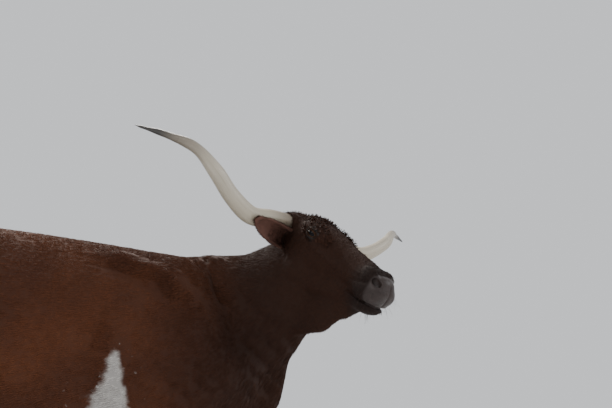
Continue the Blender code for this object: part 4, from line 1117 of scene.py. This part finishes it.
def strands(name, lines, radii, roots):
    """Closed, tapered blades with three sides along the given lines; each keeps to a patch of the unwrap."""
    count, steps = lines.shape[:2]
    run = unit(np.gradient(lines, axis=1))
    level = unit(np.cross(run, np.array([0.31, 0.17, 0.93])))
    out = np.cross(run, level)
    t = np.linspace(0.0, 1.0, steps)
    size = (np.array(radii)[:, None] * (1.0 - STRAND_TAPER * t ** 1.6))[:, :, None]
    rings = [lines + level * size, lines - level * size, lines + out * size * STRAND_FLATNESS]
    rings = np.stack(rings, axis=2)
    faces = []
    for base in range(0, count * steps * 3, steps * 3):
        last = base + 3 * (steps - 1)
        faces.append((base, base + 1, base + 2))
        for low in range(base, last, 3):
            for a, b in ((0, 2), (2, 1), (1, 0)):
                faces.append((low + a, low + b, low + 3 + b, low + 3 + a))
        faces.append((last, last + 2, last + 1))
    mesh = bpy.data.meshes.new(name)
    mesh.from_pydata(rings.reshape(-1, 3).tolist(), [], faces)
    place = np.zeros((count, steps, 3, 2))
    place[:, :, :, 0] = roots[:, None, None, 0] + TUFT_PATCH * np.array([0.0, 1.0, 0.5])
    place[:, :, :, 1] = roots[:, None, None, 1] + TUFT_PATCH * t[None, :, None]
    place = place.reshape(-1, 2)[read(mesh.loops, "vertex_index", 1, np.int32)[:, 0]]
    layer = mesh.uv_layers.new(name="OFBake")
    layer.data.foreach_set("uv", place.astype(np.float32).ravel())
    tones = np.random.default_rng(3).uniform(0.0, 1.0, count)
    spot = np.zeros((count, steps, 3, 3))
    spot[:, :, :, 1] = t[None, :, None]
    spot[:, :, :, 2] = tones[:, None, None]
    store(mesh, "blade_spot", spot.reshape(-1, 3), "FLOAT_VECTOR")
    store(mesh, "tuft_tone", np.repeat(tones[::-1], steps * 3))
    mesh.materials.append(dark_hair.material)
    mesh.shade_smooth()
    made = new_object(name, mesh)
    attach(made, BODY)
    return made


dark_hair = Finish("dark_hair")
strand_spot = dark_hair.attribute("blade_spot", "Vector")
paleness = strand_spot.number(2) * (0.4 + strand_spot.number(1) * 0.6)
strand_colour = dark_hair.mix(paleness, (0.012, 0.007, 0.005), (0.050, 0.024, 0.014))
dark_hair.set(Base_Color=strand_colour, Roughness=0.48, Specular_IOR_Level=0.3)

tail_points = points_of(nodes["tail"].data)
tail_end = tail_points[tail_points[:, 2] < tail_points[:, 2].min() + 0.004].mean(axis=0)
SWITCH_DEPTH = tail_end[2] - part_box("tail_switch")[0][2]
draw = np.random.default_rng(21)
t = np.linspace(0.0, 1.0, STRAND_STEPS)
lines, radii, roots = [], [], []
for clump in range(SWITCH_CLUMPS):
    level = clump / SWITCH_CLUMPS
    turn = 2.4 * clump + draw.uniform(-0.2, 0.2)
    start = 0.40 * SWITCH_DEPTH * level
    end = SWITCH_DEPTH * (0.62 + 0.36 * level ** 0.5 * draw.uniform(0.85, 1.0))
    belly = draw.uniform(0.012, 0.034) * (1.0 - 0.30 * level)
    sway = draw.uniform(-0.016, 0.016, 2)
    wave = draw.uniform(0.0, 2 * math.pi, 2)
    for strand in range(SWITCH_STRANDS):
        off = draw.uniform(-0.55, 0.55)
        drop = start + draw.uniform(-0.034, 0.010) + (end - start - draw.uniform(0.0, 0.03)) * t
        reach = SWITCH_REACH + belly * np.sin(math.pi * np.minimum(t * 0.95, 1.0)) ** 0.8 - 0.0035 * t
        angle = turn + off * (1.0 - 0.75 * t) + 0.35 * np.sin(3.0 * t + strand)
        x = tail_end[0] + np.cos(angle) * reach + sway[0] * t ** 2 + 0.005 * t * np.sin(9.0 * t + wave[0])
        y = tail_end[1] + np.sin(angle) * reach + sway[1] * t ** 2 + 0.005 * t * np.sin(8.0 * t + wave[1])
        lines.append(np.stack([x, y, tail_end[2] - drop], axis=1))
        radii.append(draw.uniform(0.0010, 0.0017))
        roots.append((0.02 + 0.94 * ((turn + off) / (2 * math.pi) % 1.0), 0.02 + 0.94 * level))
switch = strands("switch_hair", np.array(lines), radii, np.array(roots))
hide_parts("tail_switch")

# Lashes and whiskers
# Stiff lashes curve out from the edges of the lids, and sparse whiskers stand on the lips and the chin.
LASH_STEPS = 6
LASH_RADIUS, WHISKER_RADIUS = 0.00042, 0.00034
UPPER_LASHES, LOWER_LASHES, WHISKERS = 40, 24, 90
WHISKER_SAG = np.array([0.0, 0.0, -0.45])
t = np.linspace(0.0, 1.0, LASH_STEPS)[:, None]
lines, radii, roots = [], [], []
draw = np.random.default_rng(4)
half, above, below = LID_OPENING
for side in SIDES:
    aim, inward, up = (np.array(v) for v in eye_axes(side))
    for count, tall, way, length in ((UPPER_LASHES, above, 1.0, 0.016), (LOWER_LASHES, -below, -1.0, 0.008)):
        for k in range(count):
            turn = math.pi * (0.10 + 0.80 * (k + draw.uniform(0.2, 0.8)) / count)
            across = 1.04 * half * math.cos(turn)
            rise = tall * math.sin(turn) ** 1.35 * 1.08
            root = np.array(on_lid(side, across, rise, EYE_RADIUS + LID_THICKNESS * 0.50))
            run = length * draw.uniform(0.75, 1.15)
            lean = inward * (across / half * 0.45 - 0.12)
            lines.append(root + run * ((aim * 0.85 + lean) * t + way * up * (0.15 * t + 0.60 * t ** 2)))
            radii.append(LASH_RADIUS)
            roots.append((0.02 + 0.9 * k / count, 0.1 if side == "left" else 0.4))
chin = np.nonzero((down > 0.43) & (out < -0.10) & (np.abs(normals[:, 2]) < 0.97))[0]
for k in draw.choice(chin, WHISKERS, replace=False):
    run = draw.uniform(0.014, 0.034)
    way = normals[k] + draw.uniform(-0.25, 0.25, 3)
    lines.append(points[k] - normals[k] * 0.001 + run * (way * t + WHISKER_SAG * t ** 2))
    radii.append(WHISKER_RADIUS)
    roots.append((0.02 + 0.9 * draw.uniform(), 0.7 + 0.2 * draw.uniform()))
whiskers = strands("lashes_and_whiskers", np.array(lines), radii, np.array(roots))
